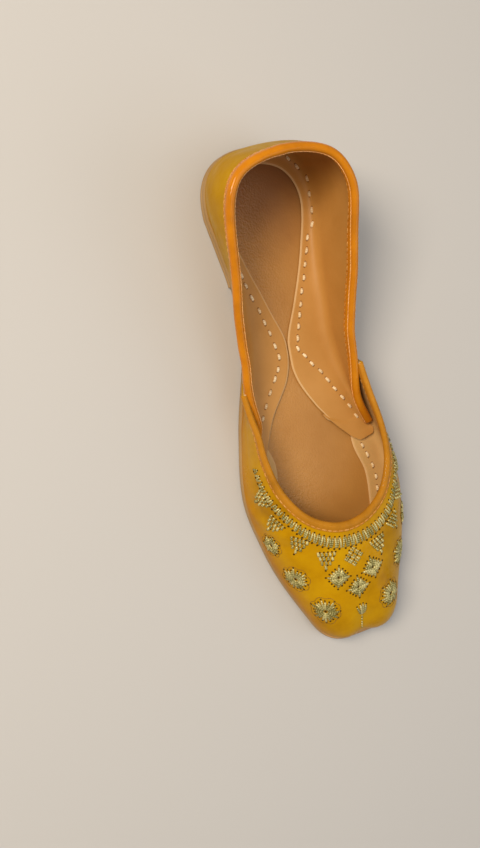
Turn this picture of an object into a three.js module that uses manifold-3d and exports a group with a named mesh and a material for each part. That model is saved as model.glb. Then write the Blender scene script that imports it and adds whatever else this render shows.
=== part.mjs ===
// A mojari: a flat, slip-on leather shoe with a squared toe, a turned-in quarter and an embroidered vamp.
// Millimetres, +Z up. The toe points along -Y, the heel along +Y, and the floor is Z = 0.

import * as THREE from 'three';
import { mergeVertices } from 'three/addons/utils/BufferGeometryUtils.js';
import Module from 'manifold-3d';

// Lengths and widths of the last
const soleLength = 247;
const ballWidth = 81.5;
const waistWidth = 47;
const heelWidth = 54.5;
const toeWidth = 41;
const seatWidth = 40;
const throatWidth = 63;
const collarWidth = 60;
const swing = 2.5;

// Heights above the floor, and rises
const heelHeight = 2.6;
const toeSpring = 6;
const toeFlat = 38;
const breastFromHeel = 62;
const shankLength = 76;
const collarHeight = 58;
const throatHeight = 32;
const jointHeight = 26.5;
const collarSlack = 4;
const slackStart = 6;

// Leather, and the room between two pieces
const soleThickness = 3.6;
const soleLedge = 0.5;
const soleBevel = 0.7;
const insoleThickness = 1.8;
const upperWall = 2;
const quarterFlange = 1.5;
const vampFlange = 1.2;
const vampFlangeWidth = 14;
const flangeTurn = 2;
const tuckDepth = 1.2;
const noseShare = 0.25;
const bindingLeather = 0.9;
const bindingWidth = 5.5;
const seam = 0.3;
const cutRoom = seam * 0.8;

// How finely the curved walls are faceted, and how finely a wall is measured from its top
const solePoints = 44;
const quarterRibs = 26;
const vampRibs = 20;
const wallRows = 7;
const heelSteps = 20;
const sideSteps = 60;
const cornerSteps = 14;
const endCrowding = 0.035;
const measureSteps = 60;

// How squarely the heel's back is rounded: 1 is a half ellipse, less is fuller at its corners
const heelRoundness = 0.8;

// Small steps at which a curve's direction is taken, and the distance under which two corners are one
const edgeStep = 0.012;
const faceStep = 0.02;
const weld = 1e-4;

// A table as one object for each row, its values under the columns' names
function table(columns, rows) {
  return rows.map((row) => Object.fromEntries(columns.map((name, i) => [name, row[i]])));
}

// Half of the sole's outline, from the heel's full width to the toe's corner: along is a share of the sole's
// length, half a share of the width beside it
const outlineRows = table(['along', 'half', 'of'], [
  [0.1174, 0.5, heelWidth],
  [0.19, 0.45, heelWidth],
  [0.251, 0.412, heelWidth],
  [0.32, 0.485, waistWidth],
  [0.3927, 0.505, waistWidth],
  [0.5344, 0.415, ballWidth],
  [0.666, 0.5, ballWidth],
  [0.7773, 0.465, ballWidth],
  [0.8502, 0.41, ballWidth],
  [0.9545, 0.575, toeWidth],
]);

// The toe's blunt front, from the corner's bend to the middle
const frontRows = table(['along', 'half', 'of'], [
  [0.997, 0.47, toeWidth],
  [1, 0.2, toeWidth],
  [1, 0.1, toeWidth],
  [1, 0, toeWidth],
]);

// The last's middle line swings a little to one side at the waist, the upper's more than the sole's:
// shares of the swing
const swingRows = table(['along', 'sole', 'upper'], [
  [0, 0.5, 0.5],
  [0.1194, 0.4, 0.4],
  [0.2611, 0.15, 0],
  [0.3927, -0.4, -0.85],
  [0.4939, -0.5, -0.95],
  [0.666, 0, 0],
  [0.8482, 0.6, 0.6],
  [1, 0.8, 0.8],
]);

// Ribs of the quarter, from the middle of the heel to the tip of the flap that lies inside the vamp.
// sole: way round the sole's edge. topAlong, topLeft, topRight, rise: the topline. edgeAlong, edgeLeft,
// edgeRight: the edge of the turned-in flange. swell: how far the wall bows out, in millimetres.
// tuck: how far the foot of the wall stands inside the vamp's. lift: how far the flange lies on the
// vamp's flange.
const quarterRows = table(
  [
    'sole', 'topAlong', 'topLeft', 'topRight', 'rise',
    'edgeAlong', 'edgeLeft', 'edgeRight', 'swell', 'tuck', 'lift',
  ],
  [
    [0, 0.0435, 0, 0, 1, 0.0364, 0, 0, 1.8, 0, 0],
    [0.083, 0.0648, 0.71, 0.71, 0.985, 0.0577, 0.71, 0.71, 3.4, 0, 0],
    [0.166, 0.1215, 1, 1, 0.89, 0.1174, 1, 1, 3.3, 0, 0],
    [0.246, 0.2105, 1.04, 0.97, 0.66, 0.2105, 0.74, 0.74, 1.5, 0, 0],
    [0.329, 0.3077, 1.05, 0.91, 0.38, 0.3077, 0.33, 0.33, 0.6, 0, 0],
    [0.391, 0.3806, 1.04, 0.89, 0.17, 0.3806, 0.02, 0.02, 0.5, 0.3, 0],
    [0.45, 0.4494, 1.02, 0.89, 0, 0.4494, 0.16, 0.06, 0.4, 1, 0],
    [0.51, 0.5182, 0.97, 0.88, -0.2, 0.5202, 0.79, 0.42, 0.3, 1, 0.4],
    [0.566, 0.5789, 1.05, 1.07, -0.44, 0.5992, 1.3, 0.95, 0, 1, 1],
  ],
);

// Ribs of the vamp, from the middle of the toe to the wing's back edge. fromToe: way round the sole's edge.
// throatAlong, throatLeft, throatRight, rise: the throat's edge. dome: how far the rib is a dome and not a
// plain wall. flange: share of the turned-in flange's width. skive: share of the wall's thickness.
const vampRows = table(
  ['fromToe', 'throatAlong', 'throatLeft', 'throatRight', 'rise', 'dome', 'flange', 'skive'],
  [
    [0, 0.7368, 0, 0, 1, 1, 1, 1],
    [0.125, 0.7267, 0.345, 0.345, 0.97, 1, 1, 1],
    [0.24, 0.6953, 0.67, 0.67, 0.85, 1, 1, 1],
    [0.345, 0.6407, 0.905, 0.905, 0.6, 0.9, 1, 1],
    [0.425, 0.5729, 1, 1, 0.3, 0.5, 1, 1],
    [0.503, 0.5061, 1.03, 0.98, 0.08, 0.1, 0.04, 0.9],
    [0.575, 0.4484, 1.06, 0.945, 0, 0, 0.04, 0.6],
  ],
);

// How round the vamp's dome is at the throat and at the sole, and how far its plain wings bow out
const domeCrown = 1.3;
const domeDrop = 1.95;
const wingSwell = 0.8;

// Shares: the narrowest flange, a flange's bend and thinned rim, the most of a wall that a binding covers
const leastFlange = 0.04;
const bendShare = 0.45;
const rimShare = 0.3;
const boundShare = 0.5;

const wasm = await Module();
wasm.setup();

function alongToY(along) {
  return soleLength * (0.5 - along);
}

function yToAlong(y) {
  return 0.5 - y / soleLength;
}

// A smooth curve through one column of a table, against its column along
function curveThrough(rows, value, at) {
  let i = 0;
  while (i < rows.length - 2 && at > rows[i + 1].along) i += 1;
  const slope = (k) => {
    const before = rows[Math.max(0, k - 1)];
    const after = rows[Math.min(rows.length - 1, k + 1)];
    return (value(after) - value(before)) / (after.along - before.along);
  };
  const step = rows[i + 1].along - rows[i].along;
  const t = THREE.MathUtils.clamp((at - rows[i].along) / step, 0, 1);
  return hermite(value(rows[i]), value(rows[i + 1]), slope(i) * step, slope(i + 1) * step, t);
}

function hermite(a, b, leaving, arriving, t) {
  return (
    (2 * t ** 3 - 3 * t ** 2 + 1) * a +
    (t ** 3 - 2 * t ** 2 + t) * leaving +
    (3 * t ** 2 - 2 * t ** 3) * b +
    (t ** 3 - t ** 2) * arriving
  );
}

// A smooth curve through a column of a table of ribs that is mirrored about its first row: mirror is 1 for
// a column that is alike on both sides, -1 for one that changes sign
function across(rows, column, at, mirror = 1) {
  const last = rows.length - 1;
  const value = (k) => {
    const kept = Math.max(-last, Math.min(last, k));
    if (kept < 0) return mirror * rows[-kept][column];
    return rows[kept][column];
  };
  const i = Math.max(-last, Math.min(last - 1, Math.floor(at)));
  const leaving = (value(i + 1) - value(i - 1)) / 2;
  const arriving = (value(i + 2) - value(i)) / 2;
  return hermite(value(i), value(i + 1), leaving, arriving, at - i);
}

function swingAt(y, part = 'upper') {
  return swing * curveThrough(swingRows, (row) => row[part], yToAlong(y));
}

// Underside of the outsole: heel seat, shank, flat tread, toe spring
function undersideAt(y) {
  const breast = alongToY(breastFromHeel / soleLength);
  const shank = THREE.MathUtils.smoothstep(y, breast - shankLength, breast);
  const springStart = alongToY(1) + toeFlat;
  const past = Math.max(0, springStart - y) / toeFlat;
  return heelHeight * shank + toeSpring * past ** 2;
}

function soleTopAt(y) {
  return undersideAt(y) + soleThickness;
}

// Half of the sole's outline as closely spaced points, from the heel to the toe
function halfOutline() {
  const points = [];
  const first = outlineRows[0].along;
  const last = outlineRows[outlineRows.length - 1].along;
  const heelReach = soleLength * first;
  for (let i = 0; i <= heelSteps; i += 1) {
    const angle = (Math.PI / 2) * (1 - i / heelSteps);
    const half = Math.max(0, Math.cos(angle)) ** heelRoundness;
    points.push([heelWidth * 0.5 * half, alongToY(first) + heelReach * Math.sin(angle) ** heelRoundness]);
  }
  for (let i = 1; i <= sideSteps; i += 1) {
    const along = first + ((last - first) * i) / sideSteps;
    points.push([curveThrough(outlineRows, (row) => row.half * row.of, along), alongToY(along)]);
  }
  const front = frontRows.map((row) => [row.half * row.of, alongToY(row.along)]);
  const bend = new THREE.QuadraticBezierCurve(
    new THREE.Vector2(...points[points.length - 1]),
    new THREE.Vector2(...front[0]),
    new THREE.Vector2(...front[1]),
  );
  for (const p of bend.getPoints(cornerSteps).slice(1)) points.push([p.x, p.y]);
  points.push(...front.slice(2));
  return points;
}

const outline = halfOutline();
const outlineWay = [0];
for (let i = 1; i < outline.length; i += 1) {
  const step = Math.hypot(outline[i][0] - outline[i - 1][0], outline[i][1] - outline[i - 1][1]);
  outlineWay.push(outlineWay[i - 1] + step);
}
const outlineLength = outlineWay[outlineWay.length - 1];

// A place on the sole's edge: share 0 is the middle of the heel, 1 the middle of the toe
function rawEdge(share) {
  const way = THREE.MathUtils.clamp(share, 0, 1) * outlineLength;
  let i = 0;
  while (i < outlineWay.length - 2 && way > outlineWay[i + 1]) i += 1;
  const t = (way - outlineWay[i]) / (outlineWay[i + 1] - outlineWay[i]);
  const [a, b] = [outline[i], outline[i + 1]];
  return [a[0] + (b[0] - a[0]) * t, a[1] + (b[1] - a[1]) * t];
}

// The same place moved inwards, with the direction that points out of the shoe; side is 1 or -1
function edgeAt(share, inset, side) {
  const mirrored = (s) => {
    const [x, y] = rawEdge(s < 0 ? -s : s > 1 ? 2 - s : s);
    return s < 0 || s > 1 ? [-x, y] : [x, y];
  };
  const [x0, y0] = mirrored(share - edgeStep);
  const [x1, y1] = mirrored(share + edgeStep);
  const length = Math.hypot(x1 - x0, y1 - y0);
  const out = [-(y1 - y0) / length, (x1 - x0) / length];
  const [x, y] = mirrored(share);
  const spot = [x - out[0] * inset, y - out[1] * inset];
  return {
    x: side * spot[0] + swingAt(spot[1], 'sole'),
    y: spot[1],
    out: [side * out[0], out[1]],
  };
}

// The slack upper leans a little to one side, more so towards the top
function lean(point) {
  const start = heelHeight + soleThickness + slackStart;
  const share = Math.max(0, (point.z - start) / (collarHeight - start));
  return new THREE.Vector3(point.x - collarSlack * share, point.y, point.z);
}

// The faces between closed rings of equal count
function bandFaces(rings) {
  const count = rings[0].length;
  const faces = [];
  for (let i = 0; i < rings.length - 1; i += 1) {
    for (let j = 0; j < count; j += 1) {
      const a = i * count + j;
      const b = i * count + ((j + 1) % count);
      faces.push([a, b, b + count], [a, b + count, a + count]);
    }
  }
  return faces;
}

// Closed rings of equal count are joined into one closed body; both ends are capped
function loft(rings) {
  const faces = bandFaces(rings);
  const last = (rings.length - 1) * rings[0].length;
  capFaces(rings[0]).forEach((f) => faces.push(f.slice().reverse()));
  capFaces(rings[rings.length - 1]).forEach((f) => faces.push(f.map((k) => k + last)));
  return solid(rings.flat(), faces);
}

// Triangles over one ring, worked out in the plane that suits it best
function capFaces(ring) {
  const normal = new THREE.Vector3();
  ring.forEach((p, i) => {
    const q = ring[(i + 1) % ring.length];
    normal.add(new THREE.Vector3().crossVectors(p, q));
  });
  normal.normalize();
  const sideways = new THREE.Vector3(0, 0, 1).cross(normal).normalize();
  const upwards = new THREE.Vector3().crossVectors(normal, sideways);
  const flat = ring.map((p) => new THREE.Vector2(p.dot(sideways), p.dot(upwards)));
  return THREE.ShapeUtils.triangulateShape(flat, []);
}

// A closed body from corners and triangles, whichever way round the triangles were listed
function solid(corners, faces) {
  const geometry = new THREE.BufferGeometry();
  const values = corners.flatMap((p) => [p.x, p.y, p.z]);
  geometry.setAttribute('position', new THREE.Float32BufferAttribute(values, 3));
  geometry.setIndex(faces.flat());
  const made = fromGeometry(geometry);
  if (made.volume() > 0) return made;
  geometry.setIndex(faces.map((f) => [f[1], f[0], f[2]]).flat());
  return fromGeometry(geometry);
}

function fromGeometry(geometry) {
  const merged = mergeVertices(geometry, weld);
  return new wasm.Manifold(
    new wasm.Mesh({
      numProp: 3,
      vertProperties: merged.attributes.position.array,
      triVerts: new Uint32Array(merged.index.array),
    }),
  );
}

// A plate of leather with the sole's outline: each level is a ring, moved inwards, at a height for each y
function plate(levels) {
  const shares = [];
  for (let i = 0; i <= solePoints; i += 1) {
    const t = i / solePoints;
    shares.push(t - endCrowding * Math.sin(2 * Math.PI * t));
  }
  const ring = (level) => {
    const spots = [];
    const add = (share, side) => {
      const p = edgeAt(share, level.inset, side);
      spots.push(new THREE.Vector3(p.x, p.y, level.z(p.y)));
    };
    shares.forEach((s) => add(s, 1));
    shares.slice(1, -1).reverse().forEach((s) => add(s, -1));
    return spots;
  };
  const rings = levels.map(ring);
  const faces = bandFaces(rings);
  const count = rings[0].length;
  const lid = (base, turned) => {
    const left = (k) => base + ((count - k) % count);
    for (let k = 0; k < solePoints; k += 1) {
      const pair = [
        [base + k, base + k + 1, left(k + 1)],
        [base + k, left(k + 1), left(k)],
      ];
      const kept = pair.filter((f) => new Set(f).size === 3);
      kept.forEach((f) => faces.push(turned ? f.reverse() : f));
    }
  };
  lid(0, true);
  lid((rings.length - 1) * count, false);
  return solid(rings.flat(), faces);
}

// Levels of the bottom parts, above the top of the outsole
const insoleLow = seam;
const insoleTop = insoleLow + insoleThickness;
const flangeLow = insoleTop + seam;

function outsole() {
  return plate([
    { inset: soleBevel, z: (y) => undersideAt(y) },
    { inset: 0, z: (y) => undersideAt(y) + soleBevel },
    { inset: 0, z: (y) => soleTopAt(y) - soleBevel },
    { inset: soleBevel, z: (y) => soleTopAt(y) },
  ]);
}

// One low lift with the sole's outline, cut off straight at the breast
function heelLift() {
  const whole = plate([
    { inset: soleBevel, z: () => 0 },
    { inset: 0, z: () => soleBevel },
    { inset: 0, z: () => heelHeight - seam },
  ]);
  const front = alongToY(breastFromHeel / soleLength) + seam;
  const keep = new THREE.BoxGeometry(soleLength, soleLength, soleLength);
  keep.translate(0, front + soleLength / 2, 0);
  keep.deleteAttribute('normal');
  keep.deleteAttribute('uv');
  return whole.intersect(fromGeometry(keep));
}

function insole() {
  const inset = soleLedge + tuckDepth + upperWall + seam * 3;
  return plate([
    { inset, z: (y) => soleTopAt(y) + insoleLow },
    { inset, z: (y) => soleTopAt(y) + insoleTop },
  ]);
}

// One rib of the quarter: where its wall starts on the sole, where it ends at the topline, its flange's edge
function quarterRib(at) {
  const side = at < 0 ? -1 : 1;
  const column = (name, mirror) => across(quarterRows, name, at, mirror);
  const half = (name) => column(name + (side < 0 ? 'Left' : 'Right'), -1);
  const tuck = Math.max(0, column('tuck')) * tuckDepth;
  const foot = edgeAt(Math.abs(column('sole', -1)), soleLedge + tuck, side);
  const topY = alongToY(column('topAlong'));
  const edgeY = alongToY(column('edgeAlong'));
  const edgeHalf = Math.max(Math.abs(half('edge')) * seatWidth * 0.5, Math.min(seam, Math.abs(at)));
  return {
    foot,
    top: [
      half('top') * collarWidth * 0.5 + swingAt(topY),
      topY,
      jointHeight + (collarHeight - jointHeight) * column('rise'),
    ],
    edge: [side * edgeHalf + swingAt(edgeY), edgeY],
    swell: Math.max(0, column('swell')),
    lift: Math.max(0, column('lift')) * (vampFlange + seam / 2),
    flange: quarterFlange,
    wall: upperWall,
  };
}

// A point of the quarter's outer face: share 0 at the sole, 1 at the topline
function quarterFace(rib, share) {
  const low = soleTopAt(rib.foot.y) + seam;
  const bow = rib.swell * 4 * share * (1 - share);
  const x = rib.foot.x + (rib.top[0] - rib.foot.x) * share + rib.foot.out[0] * bow;
  const y = rib.foot.y + (rib.top[1] - rib.foot.y) * share + rib.foot.out[1] * bow;
  return lean({ x, y, z: low + (rib.top[2] - low) * share });
}

// One rib of the vamp, from the sole up and over to the throat's edge
function vampRib(at) {
  const side = at < 0 ? -1 : 1;
  const column = (name, mirror) => across(vampRows, name, at, mirror);
  const half = (name) => column(name + (side < 0 ? 'Left' : 'Right'), -1);
  const way = 1 - Math.abs(column('fromToe', -1));
  const foot = edgeAt(way, soleLedge, side);
  const topY = alongToY(column('throatAlong'));
  const width = Math.max(column('flange'), leastFlange) * vampFlangeWidth;
  const inner = edgeAt(way, soleLedge + upperWall + width, side);
  return {
    foot,
    top: [
      half('throat') * throatWidth * 0.5 + swingAt(topY),
      topY,
      jointHeight + (throatHeight - jointHeight) * column('rise'),
    ],
    edge: [inner.x, inner.y],
    dome: THREE.MathUtils.clamp(column('dome'), 0, 1),
    lift: 0,
    flange: vampFlange,
    wall: upperWall * Math.min(1, column('skive')),
  };
}

// A point of the vamp's outer face: share 0 at the sole, 1 at the throat's edge
function vampFace(rib, share) {
  const low = soleTopAt(rib.foot.y) + seam;
  const domed = 1 - (1 - share ** domeDrop) ** (1 / domeCrown);
  const over = rib.dome * domed + (1 - rib.dome) * share;
  const bow = (1 - rib.dome) * wingSwell * 4 * share * (1 - share);
  const x = rib.foot.x + (rib.top[0] - rib.foot.x) * over + rib.foot.out[0] * bow;
  const y = rib.foot.y + (rib.top[1] - rib.foot.y) * over + rib.foot.out[1] * bow;
  return lean({ x, y, z: low + (rib.top[2] - low) * share });
}

// The two walls of the upper: a way to get a rib, a way to get a point on it, and how far the ribs reach
const quarter = { rib: quarterRib, face: quarterFace, reach: quarterRows.length - 1, evenness: 1 };
const vamp = { rib: vampRib, face: vampFace, reach: vampRows.length - 1, evenness: domeDrop };

// The direction out of the wall, and the direction up along it
function directions(wall, at, share) {
  const low = Math.max(0, share - faceStep);
  const high = Math.min(1, share + faceStep);
  const here = wall.rib(at);
  const up = wall.face(here, high).sub(wall.face(here, low)).normalize();
  const before = Math.max(-wall.reach, at - faceStep);
  const after = Math.min(wall.reach, at + faceStep);
  const next = wall.face(wall.rib(after), share).sub(wall.face(wall.rib(before), share));
  const out = new THREE.Vector3().crossVectors(next, up).normalize();
  const away = new THREE.Vector3(here.foot.out[0], here.foot.out[1], Math.SQRT1_2);
  if (out.dot(away) < 0) out.negate();
  return { out, up };
}

// Shares of the height at which a rib's wall has a row: foot, flange, turn, then evenly up to the top
function rowShares(wall, rib) {
  const low = soleTopAt(rib.foot.y) + seam;
  const height = rib.top[2] - low;
  const under = (flangeLow + rib.lift - seam) / height;
  const turn = (flangeLow + rib.lift + rib.flange + flangeTurn - seam) / height;
  const start = Math.asin(Math.min(1, turn ** (wall.evenness / 2)));
  const shares = [0, under];
  for (let i = 0; i <= wallRows; i += 1) {
    const angle = start + ((Math.PI / 2 - start) * i) / wallRows;
    shares.push(Math.min(1, Math.sin(angle) ** (2 / wall.evenness)));
  }
  return shares;
}

// The closed section of a wall at one rib, with its turned-in flange; grow makes it larger all round
function wallSection(wall, at, grow) {
  const rib = wall.rib(at);
  const shares = rowShares(wall, rib);
  const outer = [];
  const inner = [];
  shares.forEach((share) => {
    const p = wall.face(rib, share);
    const { out } = directions(wall, at, share);
    outer.push(p.clone().addScaledVector(out, grow));
    inner.push(p.clone().addScaledVector(out, -rib.wall - grow));
  });
  const { out, up } = directions(wall, at, 1);
  const nose = wall.face(rib, 1);
  nose.addScaledVector(out, -rib.wall / 2).addScaledVector(up, rib.wall * noseShare + grow);
  const level = (x, y, above) => new THREE.Vector3(x, y, soleTopAt(y) + above);
  const bottom = flangeLow + rib.lift - grow;
  const top = flangeLow + rib.lift + rib.flange + grow;
  const [ex, ey] = rib.edge;
  const turnAt = inner[2];
  const run = Math.hypot(ex - turnAt.x, ey - turnAt.y);
  const turn = Math.min(flangeTurn, run * bendShare) / run;
  const rim = (rimShare * Math.min(rib.flange, run)) / run;
  const on = (t) => [turnAt.x + (ex - turnAt.x) * t, turnAt.y + (ey - turnAt.y) * t];
  return [
    ...outer,
    nose,
    ...inner.slice(2).reverse(),
    level(...on(turn), top),
    level(...on((1 + turn) / 2), top),
    level(...on(1 - rim), top),
    level(ex, ey, (top + bottom) / 2),
    level(...on(1 - rim), bottom),
    level(...on((1 + turn) / 2), bottom),
    level(inner[1].x, inner[1].y, bottom),
    level(inner[0].x, inner[0].y, seam - grow),
  ];
}

function ribPlaces(wall, count) {
  const places = [];
  for (let i = -count; i <= count; i += 1) places.push((wall.reach * i) / count);
  return places;
}

// The first and the last ring are moved on along the wall
function pushEnds(rings, by) {
  const push = (ring, next) =>
    ring.map((p, i) => p.clone().addScaledVector(p.clone().sub(next[i]).normalize(), by));
  const last = rings.length - 1;
  return [push(rings[0], rings[1]), ...rings.slice(1, last), push(rings[last], rings[last - 1])];
}

function wallSolid(wall, count, grow) {
  return loft(pushEnds(ribPlaces(wall, count).map((at) => wallSection(wall, at, grow)), grow));
}

function upper(grow) {
  return largestBody(wallSolid(quarter, quarterRibs, grow).add(wallSolid(vamp, vampRibs, grow)));
}

// The share of the height at which a rib lies so far below its top edge, measured along the wall
function shareBelow(wall, rib, depth) {
  const step = boundShare / measureSteps;
  let share = 1;
  let way = 0;
  while (share > 1 - boundShare && way < depth) {
    way += wall.face(rib, share).distanceTo(wall.face(rib, share - step));
    share -= step;
  }
  return share;
}

// A folded strip over a wall's top edge, held off it by the seam; grow makes it larger all round
function bindingSection(wall, at, grow) {
  const rib = wall.rib(at);
  const top = wall.face(rib, 1);
  const low = shareBelow(wall, rib, bindingWidth + grow);
  const middle = shareBelow(wall, rib, (bindingWidth + grow) / 2);
  const thick = bindingLeather + grow;
  const near = [];
  const far = [];
  const inside = [];
  const farInside = [];
  [low, middle, 1].forEach((s) => {
    const p = wall.face(rib, s);
    const { out } = directions(wall, at, s);
    near.push(p.clone().addScaledVector(out, seam - grow));
    far.push(p.clone().addScaledVector(out, seam + thick));
    inside.push(p.clone().addScaledVector(out, -rib.wall - seam + grow));
    farInside.push(p.clone().addScaledVector(out, -rib.wall - seam - thick));
  });
  const { out, up } = directions(wall, at, 1);
  const nose = top.addScaledVector(out, -rib.wall / 2);
  const rise = rib.wall * noseShare + seam;
  return [
    ...far,
    nose.clone().addScaledVector(up, rise + thick),
    ...farInside.reverse(),
    ...inside,
    nose.clone().addScaledVector(up, rise - grow),
    ...near.reverse(),
  ];
}

function binding(wall, count, grow) {
  return loft(pushEnds(ribPlaces(wall, count).map((at) => bindingSection(wall, at, grow)), grow));
}

// What is left of a piece after its neighbours are cut away, without loose crumbs
function largestBody(shape) {
  return shape.decompose().sort((a, b) => b.volume() - a.volume())[0];
}

function collarBinding() {
  return largestBody(binding(quarter, quarterRibs, 0).subtract(upper(cutRoom)));
}

function throatBinding() {
  const whole = binding(vamp, vampRibs, 0).subtract(upper(cutRoom));
  return largestBody(whole.subtract(binding(quarter, quarterRibs, cutRoom)));
}

const pieces = [
  { name: 'outsole', shape: outsole(), color: 0xc9a06a, roughness: 0.6 },
  { name: 'heel_lift', shape: heelLift(), color: 0x8a5a30, roughness: 0.6 },
  { name: 'insole', shape: insole(), color: 0xb27a3f, roughness: 0.55 },
  { name: 'upper', shape: upper(0), color: 0xd09a12, roughness: 0.25 },
  { name: 'collar_binding', shape: collarBinding(), color: 0xd9761a, roughness: 0.3 },
  { name: 'throat_binding', shape: throatBinding(), color: 0xcf7d1c, roughness: 0.3 },
];

const group = new THREE.Group();
for (const piece of pieces) {
  const made = piece.shape.getMesh();
  const geometry = new THREE.BufferGeometry();
  geometry.setAttribute('position', new THREE.BufferAttribute(made.vertProperties, 3));
  geometry.setIndex(new THREE.BufferAttribute(made.triVerts, 1));
  geometry.computeVertexNormals();
  const material = new THREE.MeshStandardMaterial({
    color: piece.color,
    roughness: piece.roughness,
    metalness: 0,
  });
  const mesh = new THREE.Mesh(geometry, material);
  mesh.name = piece.name;
  group.add(mesh);
}

export default group;
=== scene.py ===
# %% [markdown]
# # A mojari, a slip-on leather shoe
#
# A mojari is cut flat and then pulled over a wooden last, which gives it its form. A vamp covers the toes,
# a quarter goes round the heel, both are lined, and the linings are turned in at the foot as flanges that
# are sewn down over the insole. Folded strips bind the open edges. The vamp is embroidered.
#
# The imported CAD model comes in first. It already has the true form of the last, so every piece here is
# made on the same measures and takes the place of its plainer CAD node.

import math
import random

import bpy
from mathutils import Matrix, Vector
from mathutils.bvhtree import BVHTree


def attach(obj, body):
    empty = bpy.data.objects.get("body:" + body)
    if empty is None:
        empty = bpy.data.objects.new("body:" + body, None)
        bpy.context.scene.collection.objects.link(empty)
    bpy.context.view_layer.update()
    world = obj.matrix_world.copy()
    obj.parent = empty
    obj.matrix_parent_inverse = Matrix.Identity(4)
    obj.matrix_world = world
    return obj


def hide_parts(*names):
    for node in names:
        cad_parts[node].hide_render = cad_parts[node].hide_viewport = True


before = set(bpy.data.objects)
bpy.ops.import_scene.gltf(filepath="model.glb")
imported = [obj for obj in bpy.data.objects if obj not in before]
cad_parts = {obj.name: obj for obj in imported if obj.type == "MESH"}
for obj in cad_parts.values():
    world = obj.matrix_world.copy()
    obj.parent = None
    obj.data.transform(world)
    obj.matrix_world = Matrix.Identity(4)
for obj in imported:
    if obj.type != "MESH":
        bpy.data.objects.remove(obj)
bpy.ops.object.select_all(action="DESELECT")
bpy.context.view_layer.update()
print("frame:", sorted(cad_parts))

# %% [markdown]
# ## Camera
#
# The camera could be set by eye, but then every piece would be judged against a wrong view. Here it was
# worked out from edges of the real shoe: where it stands, and which way its right, down and forward axes
# point in the shoe's own frame, in millimetres.

# %% Camera
MM = 0.001
LONG_SIDE_PIXELS = 848
FOCAL_PIXELS = 887.0
SENSOR = 36.0
EYE = (-166.8, 62.7, 406.3)
VIEW_RIGHT = (0.91083, -0.23457, 0.33965)
VIEW_DOWN = (-0.27203, -0.95999, 0.06651)
VIEW_FORWARD = (0.31046, -0.15297, -0.9382)

camera_data = bpy.data.cameras.new("camera")
camera_data.sensor_width = SENSOR
camera_data.lens = SENSOR * FOCAL_PIXELS / LONG_SIDE_PIXELS
camera = bpy.data.objects.new("camera", camera_data)
bpy.context.collection.objects.link(camera)
right, down, forward = Vector(VIEW_RIGHT), Vector(VIEW_DOWN), Vector(VIEW_FORWARD)
camera.matrix_world = Matrix.Translation(Vector(EYE) * MM) @ Matrix(
    (
        (right.x, -down.x, -forward.x, 0),
        (right.y, -down.y, -forward.y, 0),
        (right.z, -down.z, -forward.z, 0),
        (0, 0, 0, 1),
    )
)
bpy.context.scene.camera = camera
print("lens", round(camera_data.lens, 2), "mm")

# %% [markdown]
# ## Colours and shader nodes
#
# Colours are written as on a colour chart, in sRGB hex, and Blender's sockets want linear light, so one
# function turns them. One more function adds a node, sets it and links it, which keeps every material
# short enough to read from top to bottom.

# %% Helpers for colours and nodes
def colour(code):
    parts = [int(code[i:i + 2], 16) / 255 for i in (1, 3, 5)]
    linear = [p / 12.92 if p <= 0.04045 else ((p + 0.055) / 1.055) ** 2.4 for p in parts]
    return (*linear, 1.0)


def node(tree, kind, settings=None, links=None, stops=None):
    """Adds a node: settings go to its fields or sockets, links are socket: source, stops its colours."""
    made = tree.nodes.new("ShaderNode" + kind)
    for name, value in (settings or {}).items():
        if isinstance(name, str) and hasattr(made, name):
            setattr(made, name, value)
        else:
            made.inputs[name].default_value = value
    for name, source in (links or {}).items():
        tree.links.new(source, made.inputs[name])
    for i, (place, code) in enumerate(stops or []):
        elements = made.color_ramp.elements
        element = elements[i] if i < 2 else elements.new(place)
        element.position = place
        element.color = colour(code)
    return made


def new_material(name, roughness, **sockets):
    """A Principled material, its tree and its shader; constants go straight on the shader's sockets."""
    made = bpy.data.materials.new(name)
    made.use_nodes = True
    shader = made.node_tree.nodes["Principled BSDF"]
    shader.inputs["Roughness"].default_value = roughness
    for socket, value in sockets.items():
        shader.inputs[socket.replace("_", " ")].default_value = value
    return made, made.node_tree, shader


# %% [markdown]
# ## Floor and light
#
# A pale, plain floor stands in for the cloth that the shoe was put on. It need not curve up anywhere,
# because the camera looks down on it. Soft boxes light the shoe: a strong one over its left side, which
# gives the gleams on the coated leather, and two wider, weaker ones that open the shadows.

# %% Floor
FLOOR_SIZE, FLOOR_GAP = 6.0, 0.0002
bpy.ops.mesh.primitive_plane_add(size=FLOOR_SIZE, location=(0, 0, -FLOOR_GAP))
floor = bpy.context.object
floor.name = "floor"
floor_paint, tree, shader = new_material("matt_studio_floor", 0.9, Specular_IOR_Level=0.2)
shader.inputs["Base Color"].default_value = colour("#BFBCB7")
floor.data.materials.append(floor_paint)

# %% Light
AIM = (0, 0, 0.02)


def soft_box(name, place, size, power, tint):
    data = bpy.data.lights.new(name, "AREA")
    data.shape = "RECTANGLE"
    data.size = size
    data.size_y = size
    data.energy = power
    data.color = colour(tint)[:3]
    made = bpy.data.objects.new(name, data)
    bpy.context.collection.objects.link(made)
    made.location = place
    made.rotation_euler = (Vector(AIM) - Vector(place)).to_track_quat("-Z", "Y").to_euler()


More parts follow.
